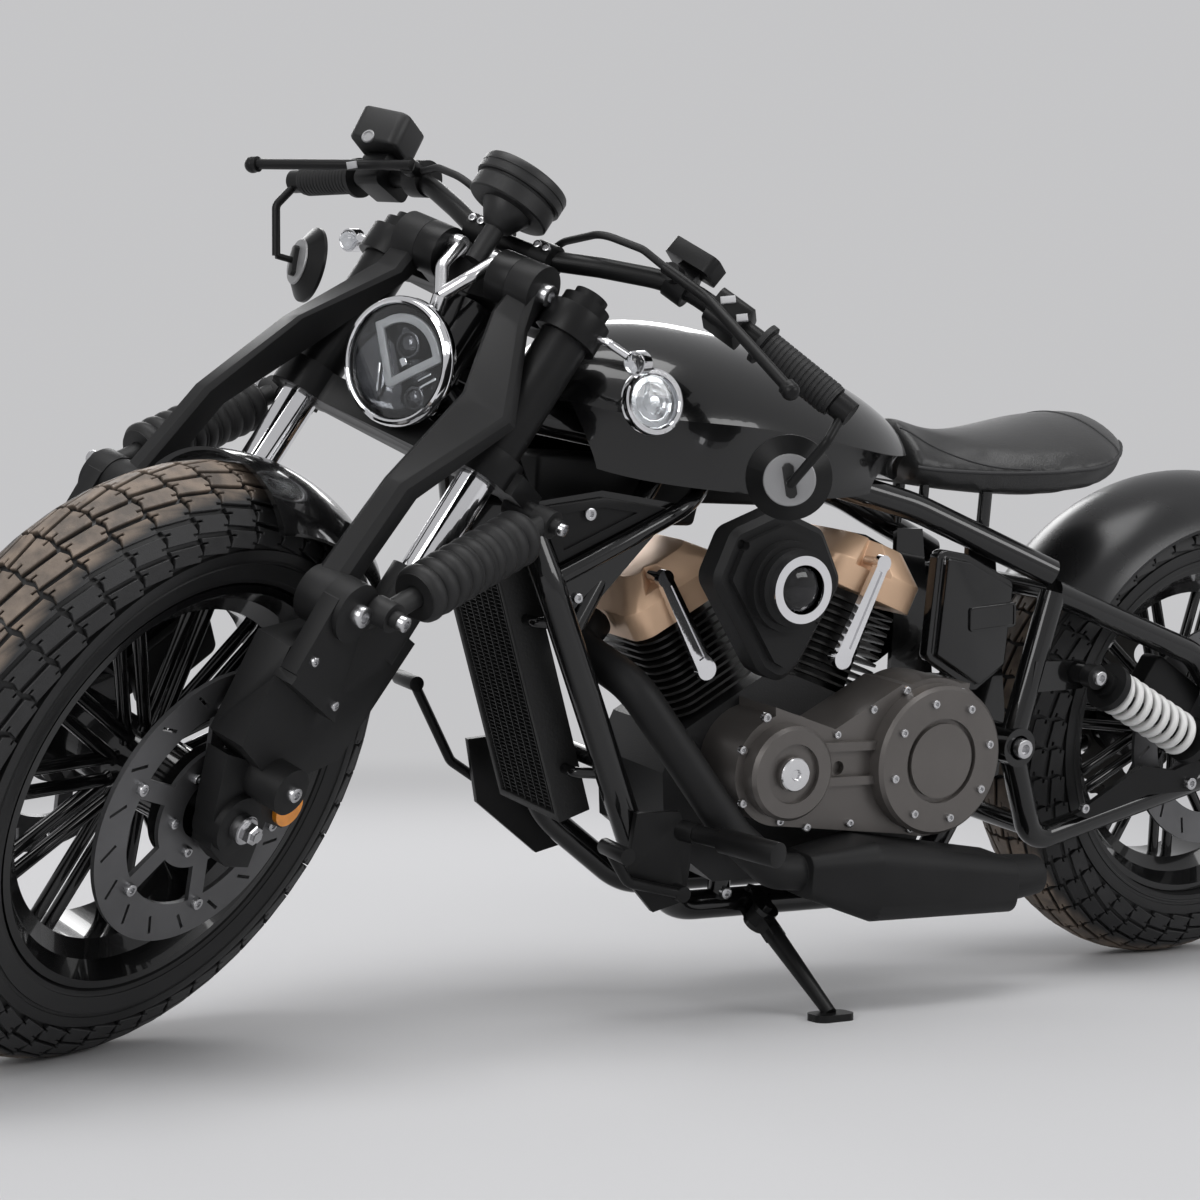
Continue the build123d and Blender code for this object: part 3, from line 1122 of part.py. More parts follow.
# ---------------------------------------------------------------- steer, lean and set down
CHASSIS = {
    "frame": upper_frame, "cradle": cradle, "swingarm": swingarm, "rear_axle": rear_axle, "cylinders": cylinders,
    "head_covers": head_covers, "crankcase": crankcase, "primary_cover": primary_cover,
    "right_cover": right_cover, "rod_covers": rod_covers, "air_cleaner": air_cleaner, "air_ring": air_ring,
    "radiator": radiator, "exhaust": exhaust, "tank": tank, "tank_ornaments": tank_ornaments, "seat": seat,
    "side_covers": side_covers, "rear_fender": rear_fender, "tail_lamp": tail_lamp,
    "rear_shocks": rear_shocks, "rear_springs": rear_springs, "shock_links": shock_links,
    "drive_chain": drive_chain, "foot_controls": foot_controls, "rear_caliper": rear_caliper,
    "rear_rim": rear_rim, "rear_tyre": rear_tyre, "rear_disc": rear_disc, "rear_sprocket": rear_sprocket,
    "side_stand": side_stand,
}
STEERED = {
    "triple_clamps": triple_clamps, "fork_arms": fork_arms, "fork_tubes": fork_tubes,
    "stanchions": stanchions, "fork_legs": fork_legs, "front_axle": front_axle,
    "front_shocks": front_shocks, "front_fender": front_fender, "front_calipers": front_calipers,
    "handlebar": handlebar, "grips": grips, "hand_controls": hand_controls,
    "brake_reservoir": brake_reservoir, "cables": cables, "reflectors": reflectors, "mirrors": mirrors, "front_indicators": front_indicators,
    "headlight": headlight, "headlight_glass": headlight_glass, "headlight_bracket": headlight_bracket,
    "gauge": gauge, "front_rim": front_rim, "front_tyre": front_tyre, "front_disc": front_disc,
}
stances = [(label, piece, parked) for label, piece in CHASSIS.items()]
stances += [(label, piece, parked * turned) for label, piece in STEERED.items()]
boxes = [(place * piece.part).bounding_box() for label, piece, place in stances]
middle_x = (min(b.min.X for b in boxes) + max(b.max.X for b in boxes)) / 2
middle_y = (min(b.min.Y for b in boxes) + max(b.max.Y for b in boxes)) / 2
centred = Pos(-middle_x, -middle_y, 0)

for label, piece, place in stances:
    finished = centred * place * piece.part
    finished.label = label
    export_step(finished, f"parts/{label}.step")
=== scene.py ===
from math import asin, atan2, cos, degrees, hypot, pi, radians, sin, sqrt
import bmesh
import bpy
from mathutils import Matrix, Vector
from mathutils.bvhtree import BVHTree


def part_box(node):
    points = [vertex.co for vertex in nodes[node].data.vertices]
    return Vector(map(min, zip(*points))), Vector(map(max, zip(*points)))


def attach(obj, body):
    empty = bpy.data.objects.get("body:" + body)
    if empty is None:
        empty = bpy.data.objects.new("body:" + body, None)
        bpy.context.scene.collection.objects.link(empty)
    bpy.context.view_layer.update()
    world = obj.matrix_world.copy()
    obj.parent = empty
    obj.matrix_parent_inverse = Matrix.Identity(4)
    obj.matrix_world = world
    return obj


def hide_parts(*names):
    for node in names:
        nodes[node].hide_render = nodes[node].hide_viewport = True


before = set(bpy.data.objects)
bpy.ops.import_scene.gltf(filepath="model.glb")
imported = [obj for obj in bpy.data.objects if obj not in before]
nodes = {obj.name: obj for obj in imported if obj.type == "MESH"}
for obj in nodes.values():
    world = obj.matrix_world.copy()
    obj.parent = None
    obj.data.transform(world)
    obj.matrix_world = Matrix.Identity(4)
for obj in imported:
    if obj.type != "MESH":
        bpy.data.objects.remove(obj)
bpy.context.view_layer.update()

MM = 0.001
HERE = Matrix.Identity(4)

# -------- places
# Pieces are drawn on the upright machine in millimetres: front is -X, left is -Y, up is +Z.
WHEELBASE = 1450.0
TRAIL = 115.0
RAKE = radians(31.5)
LEAN = radians(9.0)
PITCH = radians(-0.29)
STEER = radians(32.0)
FRONT_R = 320.0
FRONT_HALF = 68.0
REAR_R = 315.0
REAR_HALF = 75.0

rear_low, rear_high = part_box("rear_tyre")
rear_hub = (Vector(rear_low) + Vector(rear_high)) / 2


def spot(x, y, z):
    return Vector((x, y, z)) * MM


def at(x, y, z):
    return Matrix.Translation(spot(x, y, z))


def fork_spot(up, fore, side):
    """Point at a height along the steering axis, ahead of it, to one side."""
    x = -WHEELBASE / 2 - TRAIL + up * sin(RAKE) - fore * cos(RAKE)
    return spot(x, side, up * cos(RAKE) + fore * sin(RAKE))


AHEAD = Vector((-cos(RAKE), 0, sin(RAKE)))
UPWARD = Vector((sin(RAKE), 0, cos(RAKE)))
LEFT = Vector((0, -1, 0))
RIGHT = Vector((0, 1, 0))
drawn_hub = spot(WHEELBASE / 2, 0, REAR_R)
lean_and_pitch = Matrix.Rotation(PITCH, 4, "Y") @ Matrix.Rotation(LEAN, 4, "X")
chassis_place = Matrix.Translation(rear_hub) @ lean_and_pitch @ Matrix.Translation(-drawn_hub)
head_axes = Matrix.Translation(fork_spot(0, 0, 0)) @ Matrix((AHEAD, LEFT, UPWARD)).transposed().to_4x4()
steering_place = chassis_place @ head_axes @ Matrix.Rotation(STEER, 4, "Z") @ head_axes.inverted()
PLACES = {
    "chassis": chassis_place, "steering": steering_place, "side_stand": chassis_place,
    "front_wheel": steering_place @ at(-WHEELBASE / 2, 0, FRONT_R),
    "rear_wheel": chassis_place @ Matrix.Translation(drawn_hub),
}


def facing(point, way, size=1.0, turn=0.0):
    """Place of a piece whose own Z points along way."""
    quarter = Vector(way).to_track_quat("Z", "Y").to_matrix().to_4x4()
    return Matrix.Translation(point) @ quarter @ Matrix.Rotation(turn, 4, "Z") @ Matrix.Scale(size, 4)


# -------- hand tools
def deselect():
    for thing in bpy.context.selected_objects:
        thing.select_set(False)


def hold(piece):
    deselect()
    piece.select_set(True)
    bpy.context.view_layer.objects.active = piece


def show(thing):
    bpy.context.scene.collection.objects.link(thing)
    return thing


def open_mesh(piece, kind="FACE"):
    hold(piece)
    bpy.ops.object.mode_set(mode="EDIT")
    bpy.ops.mesh.select_mode(type=kind)


def open_whole(piece, kind="FACE"):
    """Open a mesh with all of it selected."""
    open_mesh(piece, kind)
    bpy.ops.mesh.select_all(action="SELECT")


def close_mesh():
    bpy.ops.object.mode_set(mode="OBJECT")


def pick_faces(piece, test):
    """In edit mode, select the faces whose middle and normal pass the test."""
    shape = bmesh.from_edit_mesh(piece.data)
    bpy.ops.mesh.select_all(action="DESELECT")
    for face in shape.faces:
        if test(face.calc_center_median(), face.normal):
            face.select_set(True)
    bmesh.update_edit_mesh(piece.data)


def tidy_mesh():
    """In edit mode: merge what meets, drop what has no area, turn faces outwards."""
    bpy.ops.mesh.select_all(action="SELECT")
    bpy.ops.mesh.remove_doubles(threshold=0.00002)
    bpy.ops.mesh.dissolve_degenerate(threshold=0.00001)
    bpy.ops.mesh.normals_make_consistent(inside=False)


def modify(piece, kind, **settings):
    """Add a modifier and apply it."""
    hold(piece)
    modifier = piece.modifiers.new(kind.lower(), kind)
    for key, value in settings.items():
        setattr(modifier, key, value)
    bpy.ops.object.modifier_apply(modifier=modifier.name)


def face_outwards(piece):
    open_whole(piece)
    bpy.ops.mesh.normals_make_consistent(inside=False)
    close_mesh()


def repeat(piece, count, step):
    """Row of copies, each a step in millimetres from the one before."""
    modify(piece, "ARRAY", count=count, use_relative_offset=False, use_constant_offset=True,
           constant_offset_displace=[length * MM for length in step])


def ring_of(name, points, fill):
    """Closed ring of corners at points in millimetres, made from a circle."""
    deselect()
    bpy.ops.mesh.primitive_circle_add(vertices=len(points), radius=0.01, fill_type=fill)
    piece = bpy.context.object
    piece.name = name
    for corner, point in zip(piece.data.vertices, points):
        corner.co = spot(*point)
    return piece


def plate_of(name, points, thick, edge=0.0, segments=1):
    """Plate whose outline lies in its own XY; it grows along +Z and its rims may be rounded."""
    piece = ring_of(name, [(x, y, 0) for x, y in points], "NGON")
    open_whole(piece)
    bpy.ops.mesh.extrude_region_move(TRANSFORM_OT_translate={"value": (0, 0, thick * MM)})
    tidy_mesh()
    if edge:
        pick_faces(piece, lambda middle, normal: abs(normal.z) > 0.9 and middle.z > thick * MM / 2)
        bpy.ops.mesh.bevel(offset=edge * MM, segments=segments, affect="EDGES")
        tidy_mesh()
    close_mesh()
    return piece


def turned(name, outline, steps, place=HERE):
    """Solid of revolution about its own Z; the closed outline is in (radius, height), millimetres."""
    piece = ring_of(name, [(radius, 0, height) for radius, height in outline], "NOTHING")
    open_whole(piece, "VERT")
    bpy.ops.mesh.spin(steps=steps, angle=2 * pi, center=(0, 0, 0), axis=(0, 0, 1))
    tidy_mesh()
    close_mesh()
    piece.matrix_world = place
    return piece


def bar_at(size, place=HERE):
    """Box about a place, its size in millimetres."""
    deselect()
    bpy.ops.mesh.primitive_cube_add(size=1.0)
    bar = bpy.context.object
    bar.matrix_world = place @ Matrix.Diagonal([side * MM for side in size] + [1])
    return bar


def sink(piece, test, rim, depth):
    """Inset the faces that pass the test and push them inwards."""
    open_mesh(piece)
    pick_faces(piece, test)
    bpy.ops.mesh.inset(thickness=rim * MM)
    bpy.ops.mesh.extrude_region_move(TRANSFORM_OT_translate={"value": (0, 0, -depth * MM)})
    close_mesh()


def settle(piece, place=HERE):
    """Move a piece to its place and leave its own origin at the world's."""
    piece.matrix_world = place @ piece.matrix_world
    hold(piece)
    bpy.ops.object.transform_apply(location=True, rotation=True, scale=True)


def join(name, pieces):
    deselect()
    for piece in pieces:
        piece.select_set(True)
    bpy.context.view_layer.objects.active = pieces[0]
    if len(pieces) > 1:
        bpy.ops.object.join()
    pieces[0].name = name
    return pieces[0]


def copies(name, model, places):
    """One model repeated at several places, each copy with its own mesh, joined into one piece."""
    made = []
    for place in places:
        copy = show(bpy.data.objects.new(name, model.data.copy()))
        copy.matrix_world = place
        made.append(copy)
    bpy.data.objects.remove(model)
    return join(name, made)


def copy_of(node, name):
    """Own copy of a node's solid, with its own mesh and no parent, merged into one skin."""
    piece = nodes[node].copy()
    piece.data = nodes[node].data.copy()
    piece.animation_data_clear()
    for key in list(piece.keys()):
        del piece[key]
    piece.parent = None
    piece.matrix_world = HERE
    piece.name = name
    open_whole(show(piece))
    bpy.ops.mesh.remove_doubles(threshold=0.00005)
    bpy.ops.mesh.normals_make_consistent(inside=False)
    close_mesh()
    return piece


def fit_out(piece, body, material, angle=30.0, place=None):
    """Set a finished piece on the machine: place, shading, finish and the body it moves with."""
    settle(piece, PLACES[body] if place is None else place)
    bpy.ops.object.shade_smooth_by_angle(angle=radians(angle))
    if material is not None:
        piece.data.materials.clear()
        piece.data.materials.append(material)
    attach(piece, body)
    return piece


def tube_along(name, points, radius, sides):
    """Round bead along a smooth curve through points in metres."""
    curve = bpy.data.curves.new(name, "CURVE")
    curve.dimensions = "3D"
    curve.bevel_depth = radius * MM
    curve.bevel_resolution = sides
    curve.use_fill_caps = True
    line = curve.splines.new("POLY")
    line.points.add(len(points) - 1)
    for knot, point in zip(line.points, points):
        knot.co = (*point, 1.0)
    hold(show(bpy.data.objects.new(name, curve)))
    bpy.ops.object.convert(target="MESH")
    return bpy.context.object


def smooth_line(knots, steps=10):
    """Points of a smooth curve through knots."""
    found = []
    for n in range(len(knots) - 1):
        ends = knots[max(0, n - 1)], knots[n], knots[n + 1], knots[min(len(knots) - 1, n + 2)]
        for k in range(steps):
            t = k / steps
            found.append(tuple(0.5 * (2 * q + (r - p) * t + (2 * p - 5 * q + 4 * r - s) * t * t
                                      + (3 * q - p - 3 * r + s) * t ** 3) for p, q, r, s in zip(*ends)))
    return found + [tuple(knots[-1])]


def arc(x, y, radius, angles):
    """Points round a circle at angles in degrees."""
    return [(x + radius * cos(radians(a)), y + radius * sin(radians(a))) for a in angles]


# -------- finishes
def feed(tree, target, inputs):
    """Set a shader node's inputs, each to a value or to the socket that feeds it."""
    for key, value in inputs.items():
        if isinstance(value, bpy.types.NodeSocket):
            tree.links.new(value, target.inputs[key])
        else:
            target.inputs[key].default_value = value


def add_node(tree, kind, inputs=None, **settings):
    """New shader node with its settings and inputs."""
    made = tree.nodes.new("ShaderNode" + kind)
    for key, value in settings.items():
        setattr(made, key, value)
    feed(tree, made, inputs or {})
    return made


def new_material(name):
    material = bpy.data.materials.new(name)
    material.use_nodes = True
    return material, material.node_tree, material.node_tree.nodes["Principled BSDF"]


def surface(name, colour, metallic, roughness, grain=0.0, grain_scale=400.0, mottle=0.0,
            mottle_scale=12.0, coat=0.0, coat_rough=0.05, sheen=0.0, specular=0.5):
    """A procedural finish: two tones mottled together, roughness that varies a little, and a fine grain."""
    material, tree, shader = new_material(name)
    place = add_node(tree, "TexCoord").outputs["Object"]
    cloud = add_node(tree, "TexNoise", {"Vector": place, "Scale": mottle_scale, "Detail": 6.0}).outputs["Fac"]
    tones = add_node(tree, "ValToRGB", {"Fac": cloud})
    other = tuple(min(1.0, c * (1.0 + mottle)) for c in colour)
    for stop, position, tone in zip(tones.color_ramp.elements, (0.35, 0.7), (colour, other)):
        stop.position = position
        stop.color = (*tone, 1.0)
    spread = add_node(tree, "MapRange", {"Value": cloud, "To Min": roughness * 0.85,
                                         "To Max": min(1.0, roughness * 1.2)})
    feed(tree, shader, {"Metallic": metallic, "Specular IOR Level": specular, "Coat Weight": coat,
                        "Coat Roughness": coat_rough, "Sheen Weight": sheen,
                        "Base Color": tones.outputs["Color"], "Roughness": spread.outputs["Result"]})
    if grain:
        fine = add_node(tree, "TexNoise", {"Vector": place, "Scale": grain_scale, "Detail": 3.0})
        bump = add_node(tree, "Bump", {"Height": fine.outputs["Fac"], "Strength": grain, "Distance": 0.0006})
        feed(tree, shader, {"Normal": bump.outputs["Normal"]})
    return material


gloss_paint = surface("gloss_black_paint", (0.0035, 0.0035, 0.0037), 0.0, 0.2, coat=0.7, coat_rough=0.04,
                      mottle=0.4, mottle_scale=4.0, specular=0.2)
satin_paint = surface("satin_black_paint", (0.006, 0.006, 0.0062), 0.0, 0.36, 0.12, 900.0, 0.5, specular=0.2)
matte_paint = surface("matte_black_paint", (0.0085, 0.0085, 0.0088), 0.0, 0.5, 0.25, 1100.0, 0.4,
                      specular=0.22)
barrel_paint = surface("cylinder_black", (0.009, 0.0087, 0.0083), 0.1, 0.42, 0.3, 700.0, 0.8, specular=0.4)
fender_paint = surface("satin_dark_fender", (0.014, 0.014, 0.0147), 0.2, 0.27, 0.1, 900.0, 0.3)
titanium_paint = surface("titanium_paint", (0.12, 0.111, 0.105), 0.55, 0.34, 0.12, 1400.0, 0.15)
copper_paint = surface("copper_paint", (0.74, 0.5, 0.33), 0.35, 0.36, 0.1, 1400.0, 0.12)
case_metal = surface("case_dark_metal", (0.012, 0.012, 0.0125), 0.3, 0.45, 0.35, 500.0, 0.6)
disc_steel = surface("disc_steel", (0.13, 0.13, 0.133), 0.85, 0.36, 0.2, 800.0, 0.3)
bright_steel = surface("bright_steel", (0.5, 0.5, 0.51), 1.0, 0.25, 0.1, 600.0, 0.2)
chrome = surface("chrome", (0.72, 0.72, 0.735), 1.0, 0.06, 0.04, 300.0, 0.08, 20.0)
cast_alloy = surface("polished_alloy", (0.66, 0.66, 0.67), 1.0, 0.2, 0.15, 500.0, 0.1)
brushed_disc = surface("brushed_disc", (0.3, 0.3, 0.305), 0.6, 0.45, 0.3, 900.0, 0.15)
spring_white = surface("white_spring_paint", (0.66, 0.66, 0.65), 0.0, 0.3, 0.05, 600.0, 0.1)
soft_rubber = surface("rubber_black", (0.008, 0.008, 0.0083), 0.0, 0.55, 0.25, 700.0, 0.3, specular=0.4)
black_plastic = surface("black_plastic", (0.009, 0.009, 0.0093), 0.0, 0.42, 0.3, 900.0, 0.3, specular=0.4)
grey_plastic = surface("grey_button_plastic", (0.42, 0.42, 0.43), 0.0, 0.4, 0.2, 900.0, 0.2)
chain_metal = surface("chain_metal", (0.05, 0.048, 0.045), 0.8, 0.4, 0.3, 500.0, 0.5)
radiator_black = surface("radiator_black", (0.006, 0.006, 0.006), 0.1, 0.6, 0.8, 300.0, 0.5)
red_lens = surface("red_lens", (0.35, 0.01, 0.01), 0.0, 0.15, coat=1.0)
amber_lens = surface("amber_lens", (0.72, 0.25, 0.015), 0.0, 0.18, 0.2, 500.0, 0.3, 60.0, coat=1.0)
light_guide = surface("pale_light_guide", (0.5, 0.5, 0.51), 0.0, 0.28, 0.1, 900.0, 0.15, coat=0.6)
dark_mirror = surface("dark_reflector", (0.08, 0.08, 0.085), 1.0, 0.12, 0.3, 120.0, 0.6, 50.0)
mirror_glass = surface("mirror_silver", (0.8, 0.82, 0.84), 1.0, 0.03, 0.02, 300.0, 0.03)
sidewall_rubber = surface("sidewall_rubber", (0.0085, 0.0085, 0.0088), 0.0, 0.42, 0.2, 900.0, 0.6, 9.0,
                          specular=0.4)


def glass_material(name, tint, roughness):
    """Glass with a little haze."""
    material, tree, shader = new_material(name)
    place = add_node(tree, "TexCoord").outputs["Object"]
    haze = add_node(tree, "TexNoise", {"Vector": place, "Scale": 40.0}).outputs["Fac"]
    spread = add_node(tree, "MapRange", {"Value": haze, "To Min": roughness, "To Max": roughness * 2.5})
    feed(tree, shader, {"Base Color": (*tint, 1.0), "Transmission Weight": 1.0, "IOR": 1.45,
                        "Roughness": spread.outputs["Result"]})
    return material


clear_glass = glass_material("clear_lens", (0.93, 0.95, 0.96), 0.015)
smoked_glass = glass_material("smoked_glass", (0.1, 0.1, 0.105), 0.02)


ROAD_DUST = (0.2, 0.155, 0.12, 1.0)


def tread_material():
    """Tread rubber with dry road dust worn into the middle rows."""
    material = surface("tread_rubber", (0.011, 0.011, 0.0115), 0.0, 0.55, 0.5, 700.0, 0.8, 60.0)
    tree = material.node_tree
    shader = tree.nodes["Principled BSDF"]
    rubber = shader.inputs["Base Color"].links[0].from_socket
    dusty = add_node(tree, "Attribute", attribute_name="dust").outputs["Fac"]
    place = add_node(tree, "TexCoord").outputs["Object"]
    patches = add_node(tree, "TexNoise", {"Vector": place, "Scale": 38.0, "Detail": 8.0}).outputs["Fac"]
    worn = add_node(tree, "MapRange", {"Value": patches, "From Min": 0.36, "From Max": 0.62, "To Min": 0.35,
                                       "To Max": 1.0}).outputs["Result"]
    amount = add_node(tree, "Math", {0: worn, 1: dusty}, operation="MULTIPLY").outputs[0]
    mix = add_node(tree, "Mix", {0: amount, 6: rubber, 7: ROAD_DUST}, data_type="RGBA")
    feed(tree, shader, {"Base Color": mix.outputs[2]})
    return material


def leather_material():
    """Black seat leather: fine pebbled grain with soft wear."""
    material = surface("seat_leather", (0.009, 0.009, 0.0092), 0.0, 0.4, mottle=0.6, mottle_scale=14.0,
                       sheen=0.08)
    tree = material.node_tree
    place = add_node(tree, "TexCoord").outputs["Object"]
    pebbles = add_node(tree, "TexVoronoi", {"Vector": place, "Scale": 520.0}).outputs["Distance"]
    creases = add_node(tree, "TexNoise", {"Vector": place, "Scale": 90.0, "Detail": 5.0}).outputs["Fac"]
    height = add_node(tree, "Math", {0: pebbles, 1: creases}, operation="ADD").outputs[0]
    bump = add_node(tree, "Bump", {"Height": height, "Strength": 0.35, "Distance": 0.0005})
    feed(tree, tree.nodes["Principled BSDF"], {"Normal": bump.outputs["Normal"]})
    return material


tread_rubber = tread_material()
seat_leather = leather_material()
seam_thread = surface("seam_thread", (0.02, 0.02, 0.021), 0.0, 0.6, 0.4, 1500.0, 0.4)

FINISHES = (
    (gloss_paint, "frame cradle swingarm tank side_covers rear_rim front_fender front_rim"),
    (bright_steel, "rear_axle front_axle"),
    (barrel_paint, "cylinders"),
    (copper_paint, "head_covers"),
    (case_metal, "crankcase"),
    (titanium_paint, "primary_cover right_cover"),
    (chrome, "rod_covers air_ring tank_ornaments stanchions front_indicators headlight"),
    (matte_paint, "air_cleaner exhaust fork_arms fork_legs"),
    (radiator_black, "radiator"),
    (seat_leather, "seat"),
    (fender_paint, "rear_fender"),
    (red_lens, "tail_lamp"),
    (satin_paint, "rear_shocks shock_links foot_controls rear_caliper side_stand triple_clamps fork_tubes "
                  "front_calipers handlebar hand_controls mirrors"),
    (spring_white, "rear_springs"),
    (chain_metal, "drive_chain rear_sprocket"),
    (sidewall_rubber, "rear_tyre front_tyre"),
    (disc_steel, "rear_disc front_disc"),
    (soft_rubber, "front_shocks grips cables"),
    (black_plastic, "brake_reservoir gauge"),
    (amber_lens, "reflectors"),
    (clear_glass, "headlight_glass"),
    (cast_alloy, "headlight_bracket"),
)
for material, names in FINISHES:
    for name in names.split():
        mesh = nodes[name].data
        mesh.materials.clear()
        mesh.materials.append(material)

# -------- rounded castings
# node, the body it moves with, the width of its rounded rims, its slot
CASTINGS = (
    ("fork_arms", "steering", 5.0, "matte_black"), ("fork_legs", "steering", 4.0, "matte_black"),
    ("triple_clamps", "steering", 2.0, "satin_black"), ("hand_controls", "steering", 3.0, "satin_black"),
    ("brake_reservoir", "steering", 3.5, "black_plastic"), ("front_calipers", "steering", 3.0, "satin_black"),
    ("rear_caliper", "chassis", 3.0, "satin_black"), ("side_covers", "chassis", 7.0, "gloss_black_paint"),
    ("head_covers", "chassis", 4.0, "copper_paint"), ("foot_controls", "chassis", 2.0, "satin_black"),
    ("exhaust", "chassis", 3.0, "matte_black"))
for node, body, width, record_slot in CASTINGS:
    casting = copy_of(node, node + "_rounded")
    open_whole(casting)
    bpy.ops.mesh.dissolve_limited(angle_limit=radians(1.0))
    close_mesh()
    modify(casting, "BEVEL", width=width * MM, segments=3, limit_method="ANGLE", angle_limit=radians(28))
    fit_out(casting, body, None, 34.0, HERE)
    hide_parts(node)

# -------- tyres
GROOVE = 5.5
BLOCK_GAP = 4.6
ROW_WIDE = 21.5
DUSTY_TO = 46.0
WALL = 14.0
# near end of one tread block's outline: along the turn, across
NEAR_END = ((0.0, -8.6), (-3.0, -1.0), (-2.4, 2.2), (4.0, 2.2), (4.0, 4.0), (-0.8, 4.0), (0.6, 8.6))


def block_outline(pitch, slant):
    """Chevron-ended block; both long sides slant towards the middle of the tyre."""
    far = pitch - BLOCK_GAP
    far_end = ((far + 0.6, 8.6), (far - 3.0, 1.0), (far - 2.4, -2.2), (far - 8.6, -2.2), (far - 8.6, -4.0),
               (far - 1.4, -4.0), (far, -8.6))
    return [(x, y - slant * (x - far / 2)) for x, y in NEAR_END + far_end]


def middle_outline(pitch):
    """Wedge of the middle row with a notch at each end."""
    far = pitch - BLOCK_GAP
    return [(0.0, -12.6), (-2.6, -1.0), (4.0, -1.0), (4.0, 1.0), (-2.6, 1.0), (0.0, 12.6),
            (far, 7.4), (far - 2.6, 1.0), (far - 9.0, 1.0), (far - 9.0, -1.0), (far - 2.6, -1.0), (far, -7.4)]


def tread(name, wheel_r, half, pitches):
    """Blocks laid out flat, repeated round the wheel and wrapped over the crown."""
    pitch = 2 * pi * wheel_r / pitches
    spread = half / FRONT_HALF
    rows = [plate_of("block", middle_outline(pitch), GROOVE, 0.7)]
    for row in range(1, 5):
        for side in (-1, 1):
            across = side * (row * ROW_WIDE + 2.0)
            points = [(x, across + side * y) for x, y in block_outline(pitch, 0.13)]
            rows.append(plate_of("block", points, GROOVE, 0.7))
    strip = join(name, rows)
    repeat(strip, pitches, (pitch, 0, 0))
    mesh = strip.data
    dust = mesh.attributes.new("dust", "FLOAT", "POINT")
    for corner, mark in zip(mesh.vertices, dust.data):
        along, across, rise = corner.co / MM
        across *= spread
        bend = across / half
        deep = half - GROOVE - 0.4 + rise * (GROOVE + 0.4) / GROOVE
        mark.value = 1.0 if rise > GROOVE - 0.9 and abs(across) < DUSTY_TO * spread else 0.0
        turn = along / wheel_r
        reach = wheel_r - half + deep * cos(bend)
        corner.co = spot(reach * cos(turn), deep * sin(bend), reach * sin(turn))
    face_outwards(strip)
    return strip


def carcass(name, wheel_r, half):
    """Tyre body under the tread: crown, ribbed sidewalls and beads, turned about the axle."""
    middle = wheel_r - half
    lip_r = 219.0
    shoulder = 84.5
    edge_turn = 90 + degrees(asin((middle - lip_r - 3.0) / half))
    outer = [(-shoulder + n * 2 * shoulder / 24, half - GROOVE) for n in range(25)]
    wall = [(shoulder + 0.3, half - 0.5), (shoulder + 4, half - 0.2), (shoulder + 9, half - 0.2),
            (shoulder + 9.6, half - 1.6), (shoulder + 12, half - 1.6), (shoulder + 12.6, half - 0.2),
            (edge_turn - 5, half - 0.3), (edge_turn - 4.4, half - 1.4), (edge_turn - 2.4, half - 1.4),
            (edge_turn, half - 0.1)]
    # across the wheel, radius
    bead = [(53.7, 219.6), (50.3, 207.3), (38.0, 205.3), (41.0, 217.0)]
    start = degrees(atan2(41.0, 217.0 - middle))
    inner = [(start - n * start / 6, half - WALL) for n in range(1, 12)]

    def section(rings):
        return [(deep * sin(radians(turn)), middle + deep * cos(radians(turn))) for turn, deep in rings]
    points = section([(-turn, deep) for turn, deep in reversed(wall)] + outer + wall) + bead
    points += section(inner) + [(-y, r) for y, r in reversed(bead)]
    piece = turned(name, [(r, y) for y, r in points], 120, Matrix.Rotation(-pi / 2, 4, "X"))
    settle(piece)
    return piece


for name, body, wheel_r, half, pitches in (("front", "front_wheel", FRONT_R, FRONT_HALF, 46),
                                           ("rear", "rear_wheel", REAR_R, REAR_HALF, 45)):
    body_piece = fit_out(carcass(name + "_tyre_carcass", wheel_r, half), body, sidewall_rubber, 40.0)
    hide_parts(name + "_tyre")
    fit_out(tread(name + "_tread_blocks", wheel_r, half, pitches), body, tread_rubber, 25.0)

# -------- bolts and caps
def bolt_head(name, corners, low, high, rim, steps, inset, sunk):
    """Head with a rounded rim and a socket, or a boss where sunk is negative; its radius is 1 mm."""
    deselect()
    bpy.ops.mesh.primitive_cylinder_add(vertices=corners, radius=MM, depth=(high - low) * MM,
                                        location=(0, 0, (low + high) / 2 * MM))
    piece = bpy.context.object
    piece.name = name
    bpy.ops.object.transform_apply(location=True)
    open_mesh(piece)
    pick_faces(piece, lambda middle, normal: normal.z > 0.9)
    bpy.ops.mesh.bevel(offset=rim * MM, segments=steps, affect="EDGES")
    close_mesh()
    sink(piece, lambda middle, normal: normal.z > 0.98 and middle.z > (high - 0.1) * MM, inset, sunk)
    return piece


def socket_bolt():
    return bolt_head("bolt", 18, -0.3, 0.9, 0.18, 2, 0.3, 0.5)


def hex_nut():
    """Six-sided nut on a washer."""
    nut = bolt_head("nut", 6, 0.0, 1.1, 0.12, 1, 0.25, -0.3)
    washer = turned("washer", [(0.3, -0.1), (1.3, -0.1), (1.3, 0.1), (1.2, 0.18), (0.3, 0.18)], 18)
    return join("nut", [nut, washer])


def bolt_on(name, model, places, body):
    fit_out(copies(name, model, places), body, bright_steel)


